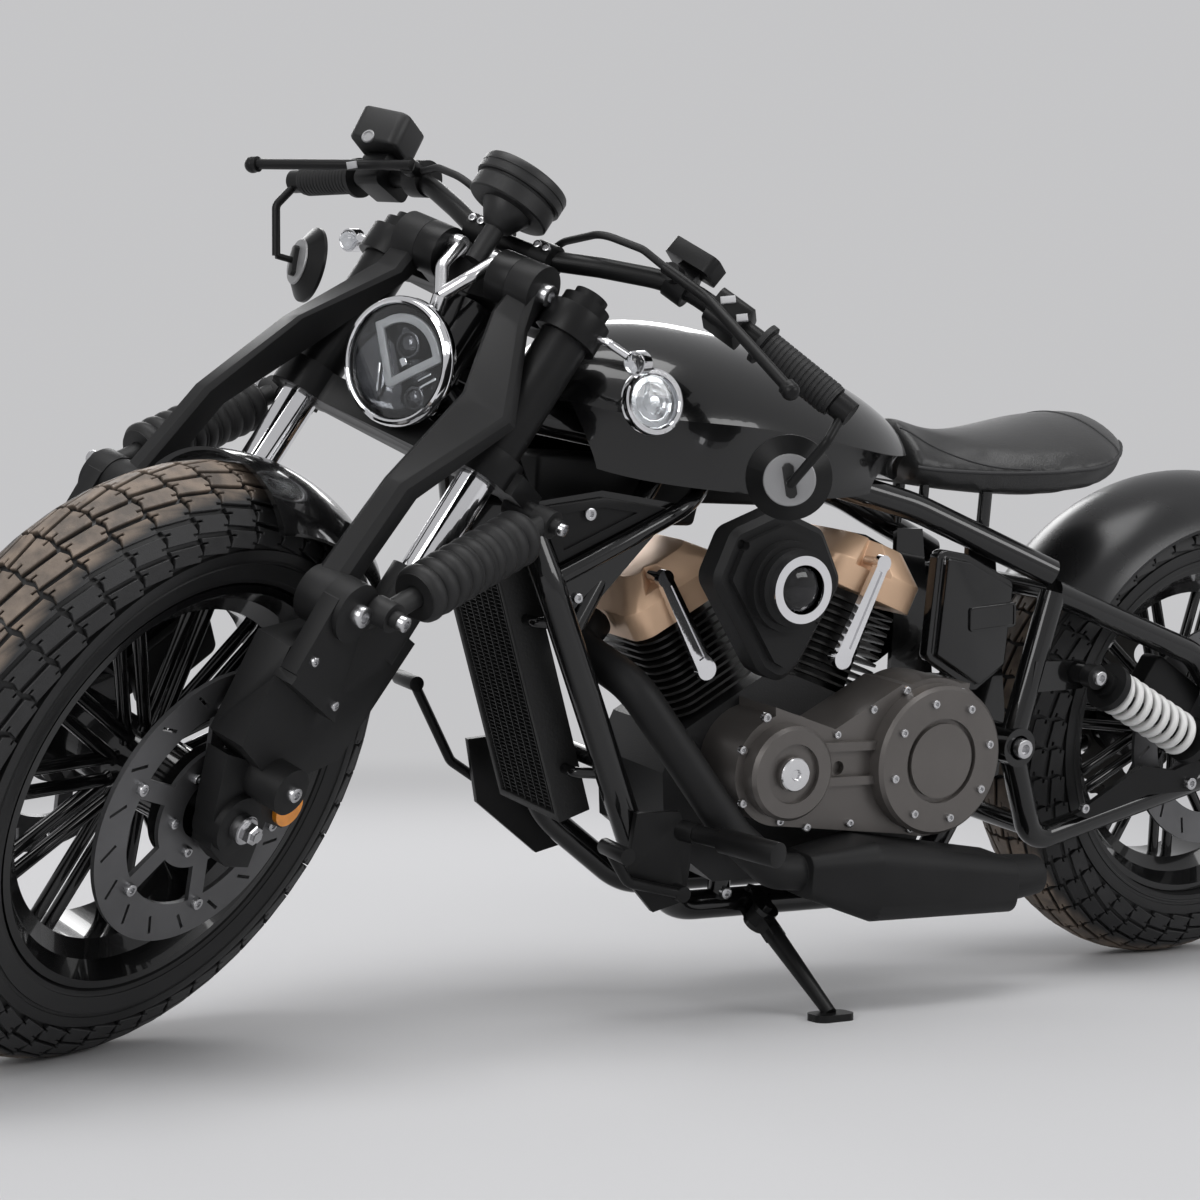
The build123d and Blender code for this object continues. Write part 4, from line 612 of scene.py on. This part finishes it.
# small bright bolts on the engine: the way they face, the face's Y, their radius, X and Z of each
ENGINE_BOLTS = (
    (LEFT, -170.0, 5.0, arc(200, 313, 70, range(15, 375, 45))),
    (LEFT, -148.0, 5.5, [(236, 390), (155, 393), (-38, 366)]),
    (LEFT, -148.0, 4.5, [(62, 344)]),
    (LEFT, -148.0, 5.0, [(-66, 330), (-60, 270), (-8, 247), (90, 240), (178, 229), (278, 330), (110, 372),
                         (30, 238)]),
    (RIGHT, 122.0, 5.0, arc(40, 300, 74, range(100, 281, 45)) + arc(170, 300, 62, (80, 35, -10, -55, -95))
     + [(105, 372), (105, 230)]))
bolt_places = [facing(spot(x, y, z), out, r) for out, y, r, points in ENGINE_BOLTS for x, z in points]
for side in (-1, 1):
    out = Vector((0, side, 0))
    # gusset plates, side covers, swingarm lugs
    for x, z, y, r in ((-257, 583, 102.5, 7.0), (-262, 492, 99, 5.5), (-300, 576, 102.5, 5.5),
                       (230, 538, 107, 4.5), (318, 508, 107, 4.5), (306, 404, 107, 4.5),
                       (438, 406, 160, 9.0), (640, 308, 160, 9.0), (452, 240, 144, 6.0), (655, 312, 144, 6.0),
                       (348, 317, 135, 12.0), (626, 265, 144, 8.0)):
        bolt_places.append(facing(spot(x, side * y, z), out, r))
    # engine mounts on the lower rails
    for x in (-22, 104):
        bolt_places.append(facing(spot(x, side * 73, 146), out, 7.0))
bolt_on("chassis_bolts", socket_bolt(), bolt_places, "chassis")

steer_places = []
for side in (-1, 1):
    out = Vector((0, side, 0))
    for up, fore, y, r in ((560, 147, 178, 11.0), (386, 75, 176, 8.0), (575, 128, 212, 8.0),
                           (758, -35, 212, 7.0), (957, 45, 93, 12.0), (500, 160, 172, 5.0),
                           (478, 90, 172, 5.0)):
        steer_places.append(facing(fork_spot(up, fore, side * y), out, r))
    steer_places.append(facing(fork_spot(962, 4, side * 22), UPWARD, 5.0))
    for up in (768, 780):
        steer_places.append(facing(fork_spot(up, -42, side * 138), -AHEAD, 5.0))
    for y in (39, 51):
        steer_places.append(facing(fork_spot(1012, 22, side * y), AHEAD, 4.5))
bolt_on("steering_bolts", socket_bolt(), steer_places, "steering")


def disc_bolts(y, side, disc_r, hub_r):
    """Rivets round a disc and bolts round its hub, on the face at Y."""
    ring = [(x, z, 6.5) for x, z in arc(0, 0, disc_r, range(37, 397, 60))]
    ring += [(x, z, 5.5) for x, z in arc(0, 0, hub_r, range(7, 367, 60))]
    return [facing(spot(x, y, z), Vector((0, side, 0)), r) for x, z, r in ring]


rings = disc_bolts(-99.5, -1, 112.0, 48.0) + disc_bolts(99.5, 1, 112.0, 48.0)
bolt_on("front_disc_bolts", socket_bolt(), rings, "front_wheel")
rings = disc_bolts(-90.5, -1, 112.0, 48.0) + disc_bolts(91.5, 1, 58.0, 46.0)
bolt_on("rear_disc_bolts", socket_bolt(), rings, "rear_wheel")
for name, x, y, z, r, body in (("front_axle_nuts", -WHEELBASE / 2, 152, FRONT_R, 11.0, "steering"),
                               ("rear_axle_nuts", WHEELBASE / 2, 136, REAR_R, 13.0, "chassis")):
    nut_places = [facing(spot(x, side * y, z), Vector((0, side, 0)), r) for side in (-1, 1)]
    bolt_on(name, hex_nut(), nut_places, body)

# -------- engine details
def fit_left(name, point, steps, finish, angle, outline):
    """Turned piece that faces left at a spot of the engine."""
    place = chassis_place @ facing(point, LEFT)
    fit_out(turned(name, outline, steps), "chassis", finish, angle, place)


fit_left("primary_cap_disc", spot(-8, -170, 305), 48, cast_alloy, 30.0,
         [(0, -1), (17.5, -1), (19, 0.5), (19, 3), (17.8, 4.2), (13, 4.6), (6.5, 4.6), (5.6, 3.6), (5.6, 1.5),
          (0, 1.5)])
fit_left("air_cleaner_glass", spot(-44, -199, 517), 48, smoked_glass, 60.0,
         [(0, -2), (26.5, -2), (26.5, 1), (22, 5), (14, 8.2), (6, 9.6), (0, 9.9)])
fit_left("air_cleaner_core", spot(-44, -197, 517), 12, dark_mirror, 20.0,
         [(0, -2), (24, -2), (24, 0), (18, 0.5), (17, 3), (11, 3.4), (10, 6), (4, 6.5), (0, 6.5)])

plate_points = []
for cx, cz, start in ((30, 10, 0), (-30, 10, 90), (-30, -10, 180), (30, -10, 270)):
    plate_points += arc(cx, cz, 5, range(start, start + 91, 30))
blank = plate_of("blank_side_plate", plate_points, 3.0, 0.8, 2)
sink(blank, lambda middle, normal: normal.z > 0.98 and middle.z > 2.5 * MM, 2.2, 1.2)
tip = radians(-6)
plate_place = at(300, -117, 474) @ Matrix(
    ((cos(tip), sin(tip), 0), (0, 0, -1), (-sin(tip), cos(tip), 0))).to_4x4()
fit_out(blank, "chassis", gloss_paint, 30.0, chassis_place @ plate_place)

# -------- coil cover under the tank, head gussets
boxes = []
for near, far, low, high in ((-294, -74, 566, 641), (-84, 62, 592, 640)):
    box = bar_at((far - near, 100, high - low))
    settle(box)
    open_mesh(box)
    pick_faces(box, lambda middle, normal: normal.z < -0.9)
    bpy.ops.transform.resize(value=(0.94, 0.76, 1.0))
    close_mesh()
    modify(box, "BEVEL", width=6 * MM, segments=3)
    box.matrix_world = at((near + far) / 2, 0, (low + high) / 2)
    boxes.append(box)
fit_out(join("coil_cover", boxes), "chassis", matte_paint, 40.0)

gussets, struts = [], []
for side in (-1, 1):
    gusset = plate_of("gusset_panel", [(-320, 588), (-240, 601), (-162, 592), (-290, 530)], 5.0, 1.2, 2)
    sink(gusset, lambda middle, normal: normal.z > 0.98 and middle.z > 4 * MM, 9, 3.5)
    outward = Matrix(((1, 0, 0), (0, 0, -1), (0, 1, 0))).to_4x4()
    flip = Matrix.Scale(-side, 4, (0, 1, 0))
    gusset.matrix_world = flip @ at(0, -101, 0) @ outward
    settle(gusset)
    if side > 0:
        face_outwards(gusset)
    gussets.append(gusset)
    knots = [spot(x, side * y, z) for x, y, z in ((-306, 106, 507), (-250, 109, 536), (-190, 109, 567),
                                                  (-140, 104, 592), (-108, 84, 610), (-84, 62, 630))]
    struts.append(tube_along("gusset_strut", smooth_line(knots), 9.5, 5))
fit_out(join("gusset_panels", gussets), "chassis", satin_paint)
fit_out(join("gusset_struts", struts), "chassis", gloss_paint, 60.0)

# -------- headlight
LAMP_WAY = Vector((-1, 0, 0.1)).normalized()
lamp_face = fork_spot(818, 73, 0)
lamp_place = steering_place @ Matrix.Translation(lamp_face) @ Matrix(
    (LEFT, LEFT.cross(-LAMP_WAY).normalized(), LAMP_WAY)).transposed().to_4x4()
optics_place = lamp_place @ Matrix.Rotation(radians(15), 4, "Z")
shell = turned("headlight_shell", [
    (0, -36), (33, -36), (46, -26), (52.5, -18), (61, -17), (67.4, -16.6), (68, -15.6), (68, -9), (67, -8.4),
    (67, -7.6), (68, -7), (67.4, -3.4), (65.4, -0.8), (62.6, 0), (60.6, -0.8), (59.6, -2.6), (59.2, -6),
    (55, -14), (45, -24), (30, -30), (0, -32)], 72)
for face in shell.data.polygons:
    x, y, z = face.center / MM
    face.material_index = int(hypot(x, y) < 59.4 and z > -31.9 and face.normal.z > 0)
shell.data.materials.append(chrome)
shell.data.materials.append(dark_mirror)
fit_out(shell, "steering", None, 32.0, lamp_place)
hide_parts("headlight")
lens = turned("headlight_lens", [(0, -4.4), (40, -5.6), (58.8, -7.6), (58.8, -4.8), (40, -2.4), (20, -1.2),
                                 (0, -0.8)], 64)
fit_out(lens, "steering", clear_glass, 60.0, lamp_place)
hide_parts("headlight_glass")
guide_outline = [(-37, 38)] + arc(0, 0, 50, range(122, 10, -8)) + [
    (52, 4), (20, -12), (-10, -28), (-16, -26), (-24, 0)]
guide = ring_of("light_guide", [(x, y, -14) for x, y in guide_outline], "NGON")
open_whole(guide)
bpy.ops.mesh.normals_make_consistent(inside=False)
bpy.ops.mesh.inset(thickness=9.5 * MM)
bpy.ops.mesh.delete(type="FACE")
close_mesh()
modify(guide, "SOLIDIFY", thickness=5 * MM, offset=0.0)
modify(guide, "BEVEL", width=1.4 * MM, segments=2, limit_method="ANGLE", angle_limit=radians(40))
fit_out(guide, "steering", light_guide, 40.0, optics_place)
projectors = []
for x, y, r in ((20, -36, 13.0), (6, 18, 15.0)):
    projectors.append(turned("projector", [
        (0, -25), (r, -25), (r, -15), (r - 1, -14), (r - 3, -14), (r - 3.6, -16), (r * 0.6, -13),
        (r * 0.3, -11.4), (0, -11)], 32, at(x, y, 0)))
fit_out(join("headlight_projectors", projectors), "steering", dark_mirror, 50.0, optics_place)
bars = join("headlight_bars", [
    bar_at((wide, high, 6), at(x, y, -17) @ Matrix.Rotation(radians(turn), 4, "Z"))
    for x, y, wide, high, turn in ((34, -20, 26, 3.0, 30), (30, -14, 20, 2.4, 30), (-28, -18, 3.0, 30, 0),
                                   (2, 0, 9, 9, 30))])
settle(bars)
modify(bars, "BEVEL", width=0.8 * MM, segments=2)
fit_out(bars, "steering", chrome, 40.0, optics_place)

# -------- gauge
gauge_place = steering_place @ facing(fork_spot(1025, 49, 0), UPWARD)
gauge = turned("gauge_body", [
    (0, 0), (45, 0), (47, 1.5), (47, 18), (46, 19), (46, 21), (49, 21.5), (50, 23), (50, 30), (49.2, 30.6),
    (49.2, 32), (50, 32.6), (50, 39), (48.6, 41.6), (46, 42), (44.6, 41), (44, 38), (0, 38)], 64)
stem = turned("gauge_stem", [(0, -66), (11, -66), (11, -25), (16, -22), (29, -1), (29, 1), (0, 1)], 32)
gauge = join("gauge_body", [gauge, stem])
fit_out(gauge, "steering", black_plastic, 32.0, gauge_place)
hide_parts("gauge")
dial_marks = []
for n in range(31):
    turn = radians(225 - n * 9)
    long = 6.0 if n % 5 == 0 else 3.4
    dial_marks.append(bar_at((long, 0.9, 0.5), Matrix.Rotation(turn, 4, "Z") @ at(40 - long / 2, 0, 38.2)))
dial_marks.append(bar_at((36, 1.4, 0.6), Matrix.Rotation(radians(222), 4, "Z") @ at(14, 0, 39.4)))
marks = join("gauge_marks", dial_marks)
settle(marks)
modify(marks, "BEVEL", width=0.15 * MM)
hub = turned("gauge_hub", [(0, 38), (5, 38), (5, 40), (4, 41), (0, 41.2)], 24)
fit_out(join("gauge_marks", [marks, hub]), "steering", grey_plastic, 30.0, gauge_place)
face_glass = turned("gauge_glass", [(0, 41.2), (44, 40.2), (44.4, 41), (30, 41.6), (0, 42)], 48)
fit_out(face_glass, "steering", clear_glass, 60.0, gauge_place)

# -------- indicators, tank discs and mirrors
def lamp_at(side):
    return facing(fork_spot(947, -13, side * 200) + spot(-8, 0, 0), Vector((-1, 0, 0)))


def disc_at(side):
    return facing(spot(-215, side * 142.2, 706), Vector((0, side, 0.185)).normalized())


def mirror_at(side, lift=0.0, flip=1, turn=0.0):
    """On the mirror's back, at a height above it in millimetres; flip -1 faces the rider."""
    out = Vector((-0.85, side * 0.5, 0.1)).normalized()
    return facing(fork_spot(935, -141, side * 356) + out * lift * MM, out * flip, 1.0, turn)


def glass_at(side):
    return mirror_at(side, -18.0, -1)


# turned pieces that come in pairs: name, place, steps, body, finish, slot, shading angle, outline
PAIRS = (
    ("indicator_lenses", lamp_at, 32, "steering", clear_glass, "clear_lens", 60.0,
     [(0, -1), (11.4, -1), (11.4, 1.5), (9.6, 4.4), (6, 6.4), (0, 7.2)]),
    ("tank_disc_rings", disc_at, 56, "chassis", chrome, "chrome", 32.0,
     [(0, 0), (36, 0), (36, 6), (35, 9.4), (33, 11), (30, 11), (28.6, 9.6), (28, 5), (0, 4)]),
    ("tank_disc_facets", disc_at, 14, "chassis", cast_alloy, "cast_aluminium", 15.0,
     [(0, 3), (27.6, 3), (27.6, 5.4), (22, 6.4), (20, 4.6), (14, 7.4), (12, 5.4), (6, 8.2), (0, 8.6)]),
    ("tank_disc_glasses", disc_at, 40, "chassis", clear_glass, "clear_lens", 60.0,
     [(0, 10.4), (20, 10), (28, 9), (28.6, 10), (20, 11.4), (0, 12.2)]),
    ("mirror_back_discs", mirror_at, 48, "steering", brushed_disc, "cast_aluminium", 40.0,
     [(0, -0.5), (28, -0.5), (28, 0.8), (27, 1.8), (14, 2.4), (0, 2.6)]),
    ("mirror_glasses", glass_at, 64, "steering", mirror_glass, "chrome", 40.0,
     [(0, -1), (43.5, -1), (43.5, 0.3), (42.5, 0.8), (0, 0.9)]))
for name, place_of, steps, body, finish, record_slot, angle, outline in PAIRS:
    pair = join(name, [turned(name, outline, steps, place_of(side)) for side in (-1, 1)])
    fit_out(pair, body, finish, angle)
    if name == "tank_disc_rings":
        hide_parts("tank_ornaments")
clamps = []
for side in (-1, 1):
    clamp = plate_of("mirror_clamp", [(-6, -15), (-2.5, -18.5), (2.5, -18.5), (6, -15), (6, 15), (2.5, 18.5),
                                      (-2.5, 18.5), (-6, 15)], 6.0, 1.0, 2)
    clamp.matrix_world = mirror_at(side, 2.2, 1, radians(25))
    clamps.append(clamp)
fit_out(join("mirror_clamps", clamps), "steering", black_plastic)

# -------- bellows, grips, lever balls
SHOCK_LOW = (575.0, 128.0)
SHOCK_HIGH = (758.0, -35.0)
# the bellows start this far above the shock's lower eye, and are this much shorter than the shock
SLEEVE_FROM, SLEEVE_SHORT = 43.0, 83.0
SLEEVE_RIBS, GRIP_RIBS = 9, 15
sleeves = []
for side in (-1, 1):
    low = fork_spot(*SHOCK_LOW, side * 192)
    way = fork_spot(*SHOCK_HIGH, side * 192) - low
    run = way.length / MM - SLEEVE_SHORT
    outline = [(12, -1.5), (24.6, -1.5)]
    for n in range(SLEEVE_RIBS):
        for share, swell in ((0.0, 0.0), (0.12, 0.55), (0.28, 0.9), (0.5, 1.0), (0.72, 0.9), (0.88, 0.55)):
            outline.append((24.4 + 5.6 * swell, (n + share) * run / SLEEVE_RIBS))
    outline += [(24.6, run), (24.6, run + 2), (22, run + 3), (12, run + 3)]
    sleeves.append(turned("bellows", outline, 40, facing(low + way.normalized() * SLEEVE_FROM * MM, way)))
fit_out(join("shock_bellows", sleeves), "steering", soft_rubber, 50.0)

grip_pieces, balls = [], []
for side in (-1, 1):
    inner = fork_spot(1038, -62, side * 275)
    outer = fork_spot(1018, -97, side * 377)
    way = (outer - inner).normalized()
    length = (outer - inner).length / MM - 10
    outline = [(11.6, 7), (17.2, 7)]
    for n in range(GRIP_RIBS):
        low = 8 + n * (length - 12) / GRIP_RIBS
        high = 8 + (n + 1) * (length - 12) / GRIP_RIBS
        outline += [(17.3, low), (18.2, low + 0.8), (18.2, high - 1.4), (17.3, high - 0.6)]
    outline += [(17.6, length - 3), (16.6, length - 1), (11.6, length - 1)]
    grip_pieces.append(turned("grip", outline, 36, facing(inner + way * 0.008, way)))
    deselect()
    bpy.ops.mesh.primitive_uv_sphere_add(segments=24, ring_count=14, radius=9.6 * MM)
    ball = bpy.context.object
    ball.matrix_world = Matrix.Translation(fork_spot(979, -1, side * 373))
    balls.append(ball)
fit_out(join("grip_ribs", grip_pieces), "steering", soft_rubber)
fit_out(join("lever_balls", balls), "steering", satin_paint, 60.0)

# -------- switch buttons, reservoir sight glass
buttons = []
for point, way, wide in (((-268.9, -244.4, 883.6), (-0.84, -0.3, 0.46), 8.0),
                         ((-268.1, -265.8, 871.5), (-0.84, -0.3, 0.46), 6.0),
                         ((-298.3, 254.6, 871.9), (-0.95, -0.3, -0.01), 6.0)):
    button = plate_of("switch_button", [(-wide, -4), (wide, -4), (wide, 4), (-wide, 4)], 3.2, 1.0, 2)
    button.matrix_world = facing(spot(*point), Vector(way).normalized(), 1.0, radians(25))
    buttons.append(button)
fit_out(join("switch_buttons", buttons), "steering", grey_plastic)
sight = turned("reservoir_sight_glass", [(0, -1), (8, -1), (8, 1.2), (7.2, 2), (5.6, 2), (5, 1), (0, 1)], 32)
fit_out(sight, "steering", brushed_disc, 30.0,
        steering_place @ facing(spot(-281.3, 255.5, 905.8), Vector((-0.85, 0, 0.52)).normalized()))

# -------- radiator core
top = spot(-332, 0, 540)
bottom = spot(-228, 0, 245)
rise = (top - bottom).normalized()
radiator_place = Matrix.Translation((top + bottom) / 2) @ Matrix(
    (Vector((-rise.z, 0, rise.x)), LEFT, rise)).transposed().to_4x4()
tall = (top - bottom).length / MM
FIN_PITCH = 4.6
RIB_PITCH = 16.0
core = bar_at((40, 144, tall))
settle(core)
open_mesh(core)
pick_faces(core, lambda middle, normal: abs(normal.x) > 0.9)
bpy.ops.mesh.inset(thickness=9 * MM, use_individual=True)
bpy.ops.mesh.extrude_region_shrink_fatten(TRANSFORM_OT_shrink_fatten={"value": -9 * MM})
close_mesh()
modify(core, "BEVEL", width=1.6 * MM, segments=2, limit_method="ANGLE", angle_limit=radians(40))
fin = bar_at((34, 125, 0.9), at(0, 0, 14 - tall / 2))
rib = bar_at((36, 1.6, tall - 20), at(0, -56, 0))
for piece, count, step in ((fin, int((tall - 26) / FIN_PITCH), (0, 0, FIN_PITCH)),
                           (rib, 8, (0, RIB_PITCH, 0))):
    settle(piece)
    repeat(piece, count, step)
core = join("radiator_core", [core, fin, rib])
fit_out(core, "chassis", radiator_black, 30.0, chassis_place @ radiator_place)
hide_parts("radiator")

# -------- drive chain
CHAIN_SIDE = 88.5
PITCH_LONG = 15.875
REAR_TEETH, FRONT_TEETH = 46, 15
REAR_PITCH_R = PITCH_LONG / (2 * sin(pi / REAR_TEETH))
FRONT_PITCH_R = PITCH_LONG / (2 * sin(pi / FRONT_TEETH))
front_centre = Vector((300.0, 300.0))
rear_centre = Vector((WHEELBASE / 2, REAR_R))
span = rear_centre - front_centre
tilt = atan2(span.y, span.x)
wrap = asin((REAR_PITCH_R - FRONT_PITCH_R) / span.length)
run = sqrt(span.length ** 2 - (REAR_PITCH_R - FRONT_PITCH_R) ** 2)
rear_arc = (pi + 2 * wrap) * REAR_PITCH_R
front_arc = (pi - 2 * wrap) * FRONT_PITCH_R
chain_long = 2 * run + rear_arc + front_arc
links = 2 * round(chain_long / PITCH_LONG / 2)


def off_sprocket(centre, radius, turn, far=0.0):
    """Place and heading where the chain has left a sprocket at an angle and run straight for a distance."""
    heading = turn - pi / 2
    start = centre + Vector((cos(turn), sin(turn))) * radius
    return start + Vector((cos(heading), sin(heading))) * far, heading


def chain_point(far):
    """Place and heading on the chain's path at a distance from the front sprocket's top."""
    far %= chain_long
    up_turn = pi / 2 + wrap + tilt
    low_turn = -pi / 2 - wrap + tilt
    if far < run:
        return off_sprocket(front_centre, FRONT_PITCH_R, up_turn, far)
    far -= run
    if far < rear_arc:
        return off_sprocket(rear_centre, REAR_PITCH_R, up_turn - far / REAR_PITCH_R)
    far -= rear_arc
    if far < run:
        return off_sprocket(rear_centre, REAR_PITCH_R, low_turn, far)
    return off_sprocket(front_centre, FRONT_PITCH_R, low_turn - (far - run) / FRONT_PITCH_R)


def link(plate_side, roller_half):
    """Two side plates with waists and two rollers; X along the chain, Z across it."""
    half = PITCH_LONG / 2
    end = arc(half, 0, 6.4, range(-90, 91, 30))
    outline = end + [(0, 4.8)] + [(-x, -y) for x, y in end] + [(0, -4.8)]
    parts = []
    for side in (-1, 1):
        flank = plate_of("flank", outline, 1.4, 0.3)
        flank.matrix_world = at(0, 0, side * plate_side - 0.7)
        parts.append(flank)
    for x in (-half, half):
        parts.append(turned("roller", [(1.5, -roller_half), (3.4, -roller_half), (3.4, roller_half),
                                       (1.5, roller_half)], 10, at(x, 0, 0)))
    return join("link", parts)


def link_places(first):
    found = []
    for n in range(first, links, 2):
        here, heading = chain_point((n + 0.5) * chain_long / links)
        ahead = Vector((cos(heading), 0, sin(heading)))
        axes = Matrix((ahead, ahead.cross(RIGHT) * -1, RIGHT)).transposed().to_4x4()
        found.append(at(here.x, CHAIN_SIDE, here.y) @ axes)
    return found


chain = join("drive_chain_links", [copies("outer_links", link(6.6, 7.8), link_places(0)),
                                   copies("inner_links", link(4.8, 5.6), link_places(1))])
fit_out(chain, "chassis", chain_metal)
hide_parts("drive_chain")

# -------- seat
SEAT_VOXEL = 6.0
# the most that air pressure may move the skin, millimetres
SWELL = 4.0


def seat_cushion():
    """Seat pad swollen by air pressure from a slightly smaller copy of its solid."""
    pad = copy_of("seat", "seat_pad")
    modify(pad, "REMESH", mode="VOXEL", voxel_size=SEAT_VOXEL * MM)
    modify(pad, "SMOOTH", factor=0.5, iterations=14)
    start = [corner.co.copy() for corner in pad.data.vertices]
    hold(pad)
    cloth = pad.modifiers.new("cloth", "CLOTH")
    cloth.settings.use_pressure = True
    cloth.settings.uniform_pressure_force = 3.0
    cloth.settings.effector_weights.gravity = 0.0
    cloth.settings.tension_stiffness = 40.0
    cloth.settings.quality = 5
    for step in range(1, 13):
        bpy.context.scene.frame_set(step)
    bpy.ops.object.modifier_apply(modifier=cloth.name)
    for corner, rest in zip(pad.data.vertices, start):
        shift = corner.co - rest
        if shift.length > SWELL * MM:
            corner.co = rest + shift.normalized() * SWELL * MM
    bpy.context.scene.frame_set(1)
    modify(pad, "SMOOTH", factor=0.5, iterations=6)
    modify(pad, "SUBSURF", levels=1, render_levels=1)
    return pad


pad = seat_cushion()
fit_out(pad, "chassis", seat_leather, 60.0, HERE)
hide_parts("seat")
skin = BVHTree.FromObject(pad, bpy.context.evaluated_depsgraph_get())
upright = chassis_place.to_3x3()


def seam(name, knots, way, radius, sides, lift):
    """Bead on the seat's skin, where rays sent from a smooth line through the knots meet it."""
    line = []
    for knot in smooth_line(knots):
        met, normal, _, _ = skin.ray_cast(chassis_place @ spot(*knot), (upright @ Vector(way)).normalized())
        if met is not None:
            line.append(met + normal * lift * MM)
    return tube_along(name, line, radius, sides)


FLANK_SEAM = ((204, 690), (226, 676), (262, 660), (300, 652), (340, 652))
HEM = ((207, 646), (240, 644), (300, 645), (360, 650), (420, 658), (460, 668), (490, 680), (503, 690))
REAR_SEAM = ((478, 118), (470, 96), (466, 60), (464, 0), (466, -60), (470, -96), (478, -118))
beads = []
for side in (-1, 1):
    for name, seam_line, radius, sides, lift in (("flank_seam", FLANK_SEAM, 1.3, 2, 0.1),
                                                 ("seat_piping", HEM, 2.4, 3, 0.2)):
        knots = [(x, side * 400, z) for x, z in seam_line]
        beads.append(seam(name, knots, (0, -side, 0), radius, sides, lift))
beads.append(seam("rear_seam", [(x, y, 1100) for x, y in REAR_SEAM], (0, 0, -1), 1.3, 2, 0.1))
fit_out(join("seat_seams", beads), "chassis", seam_thread, 60.0, HERE)

# -------- floor, light and camera
BACKDROP = (0.56, 0.56, 0.57, 1.0)
# distances from the machine between which the floor turns into the backdrop, metres
FADE_FROM, FADE_TO = 1.6, 5.5


def direct_rays(tree):
    """1 for what the camera sees, straight, mirrored or through glass; 0 for light that falls on things."""
    paths = add_node(tree, "LightPath").outputs
    seen = paths["Is Camera Ray"]
    for way in ("Is Glossy Ray", "Is Transmission Ray"):
        seen = add_node(tree, "Math", {0: seen, 1: paths[way]}, operation="MAXIMUM").outputs[0]
    return seen


floor_material, floor_tree, floor_shader = new_material("pale_floor")
feed(floor_tree, floor_shader, {"Base Color": (0.6, 0.6, 0.61, 1.0), "Roughness": 0.75,
                                "Specular IOR Level": 0.2})
floor_spot = add_node(floor_tree, "TexCoord").outputs["Object"]
away = add_node(floor_tree, "VectorMath", {0: floor_spot}, operation="LENGTH").outputs["Value"]
fade = add_node(floor_tree, "MapRange", {"Value": away, "From Min": FADE_FROM, "From Max": FADE_TO},
                interpolation_type="SMOOTHSTEP").outputs["Result"]
share = add_node(floor_tree, "Math", {0: fade, 1: direct_rays(floor_tree)}, operation="MULTIPLY").outputs[0]
glow = add_node(floor_tree, "Emission", {"Color": BACKDROP}).outputs["Emission"]
blend = add_node(floor_tree, "MixShader", {0: share, 1: floor_shader.outputs["BSDF"], 2: glow})
feed(floor_tree, floor_tree.nodes["Material Output"], {"Surface": blend.outputs[0]})
deselect()
bpy.ops.mesh.primitive_plane_add(size=120.0)
floor = bpy.context.object
floor.name = "floor"
floor.data.materials.append(floor_material)

world = bpy.data.worlds.new("studio")
bpy.context.scene.world = world
world.use_nodes = True
sky = world.node_tree
lit = sky.nodes["Background"]
feed(sky, lit, {"Color": (0.62, 0.62, 0.63, 1.0), "Strength": 0.62})
plain = add_node(sky, "Background", {"Color": BACKDROP})
mix = add_node(sky, "MixShader", {0: direct_rays(sky), 1: lit.outputs[0], 2: plain.outputs[0]})
feed(sky, sky.nodes["World Output"], {"Surface": mix.outputs[0]})


def look_from(holder, place, aim):
    holder.location = place
    holder.rotation_mode = "QUATERNION"
    holder.rotation_quaternion = (aim - place).to_track_quat("-Z", "Y")


def soft_light(name, place, aim, size, power):
    lamp = bpy.data.lights.new(name, "AREA")
    lamp.shape = "RECTANGLE"
    lamp.size, lamp.size_y = size
    lamp.energy = power
    look_from(show(bpy.data.objects.new(name, lamp)), Vector(place), Vector(aim))


soft_light("overhead_light", (-0.4, -0.6, 3.6), (0, 0, 0.4), (3.2, 1.6), 70.0)
soft_light("front_light", (-3.4, -1.8, 1.9), (-0.2, 0, 0.5), (1.6, 2.0), 45.0)
soft_light("side_light", (1.8, -3.4, 2.0), (0.2, 0, 0.4), (2.4, 1.2), 40.0)
soft_light("back_light", (0.8, 3.2, 2.4), (0, 0, 0.6), (3.0, 1.2), 50.0)

# the camera's place and aim from the rear hub, metres
CAMERA_FROM = Vector((-2.12936, -2.13652, 0.11065))
CAMERA_AT = Vector((-0.85713, 0.04928, 0.15602))
optics = bpy.data.cameras.new("camera")
optics.sensor_width = 36.0
optics.lens = 64.83
camera = show(bpy.data.objects.new("camera", optics))
look_from(camera, rear_hub + CAMERA_FROM, rear_hub + CAMERA_AT)
bpy.context.scene.camera = camera
bpy.context.scene.view_settings.view_transform = "Standard"
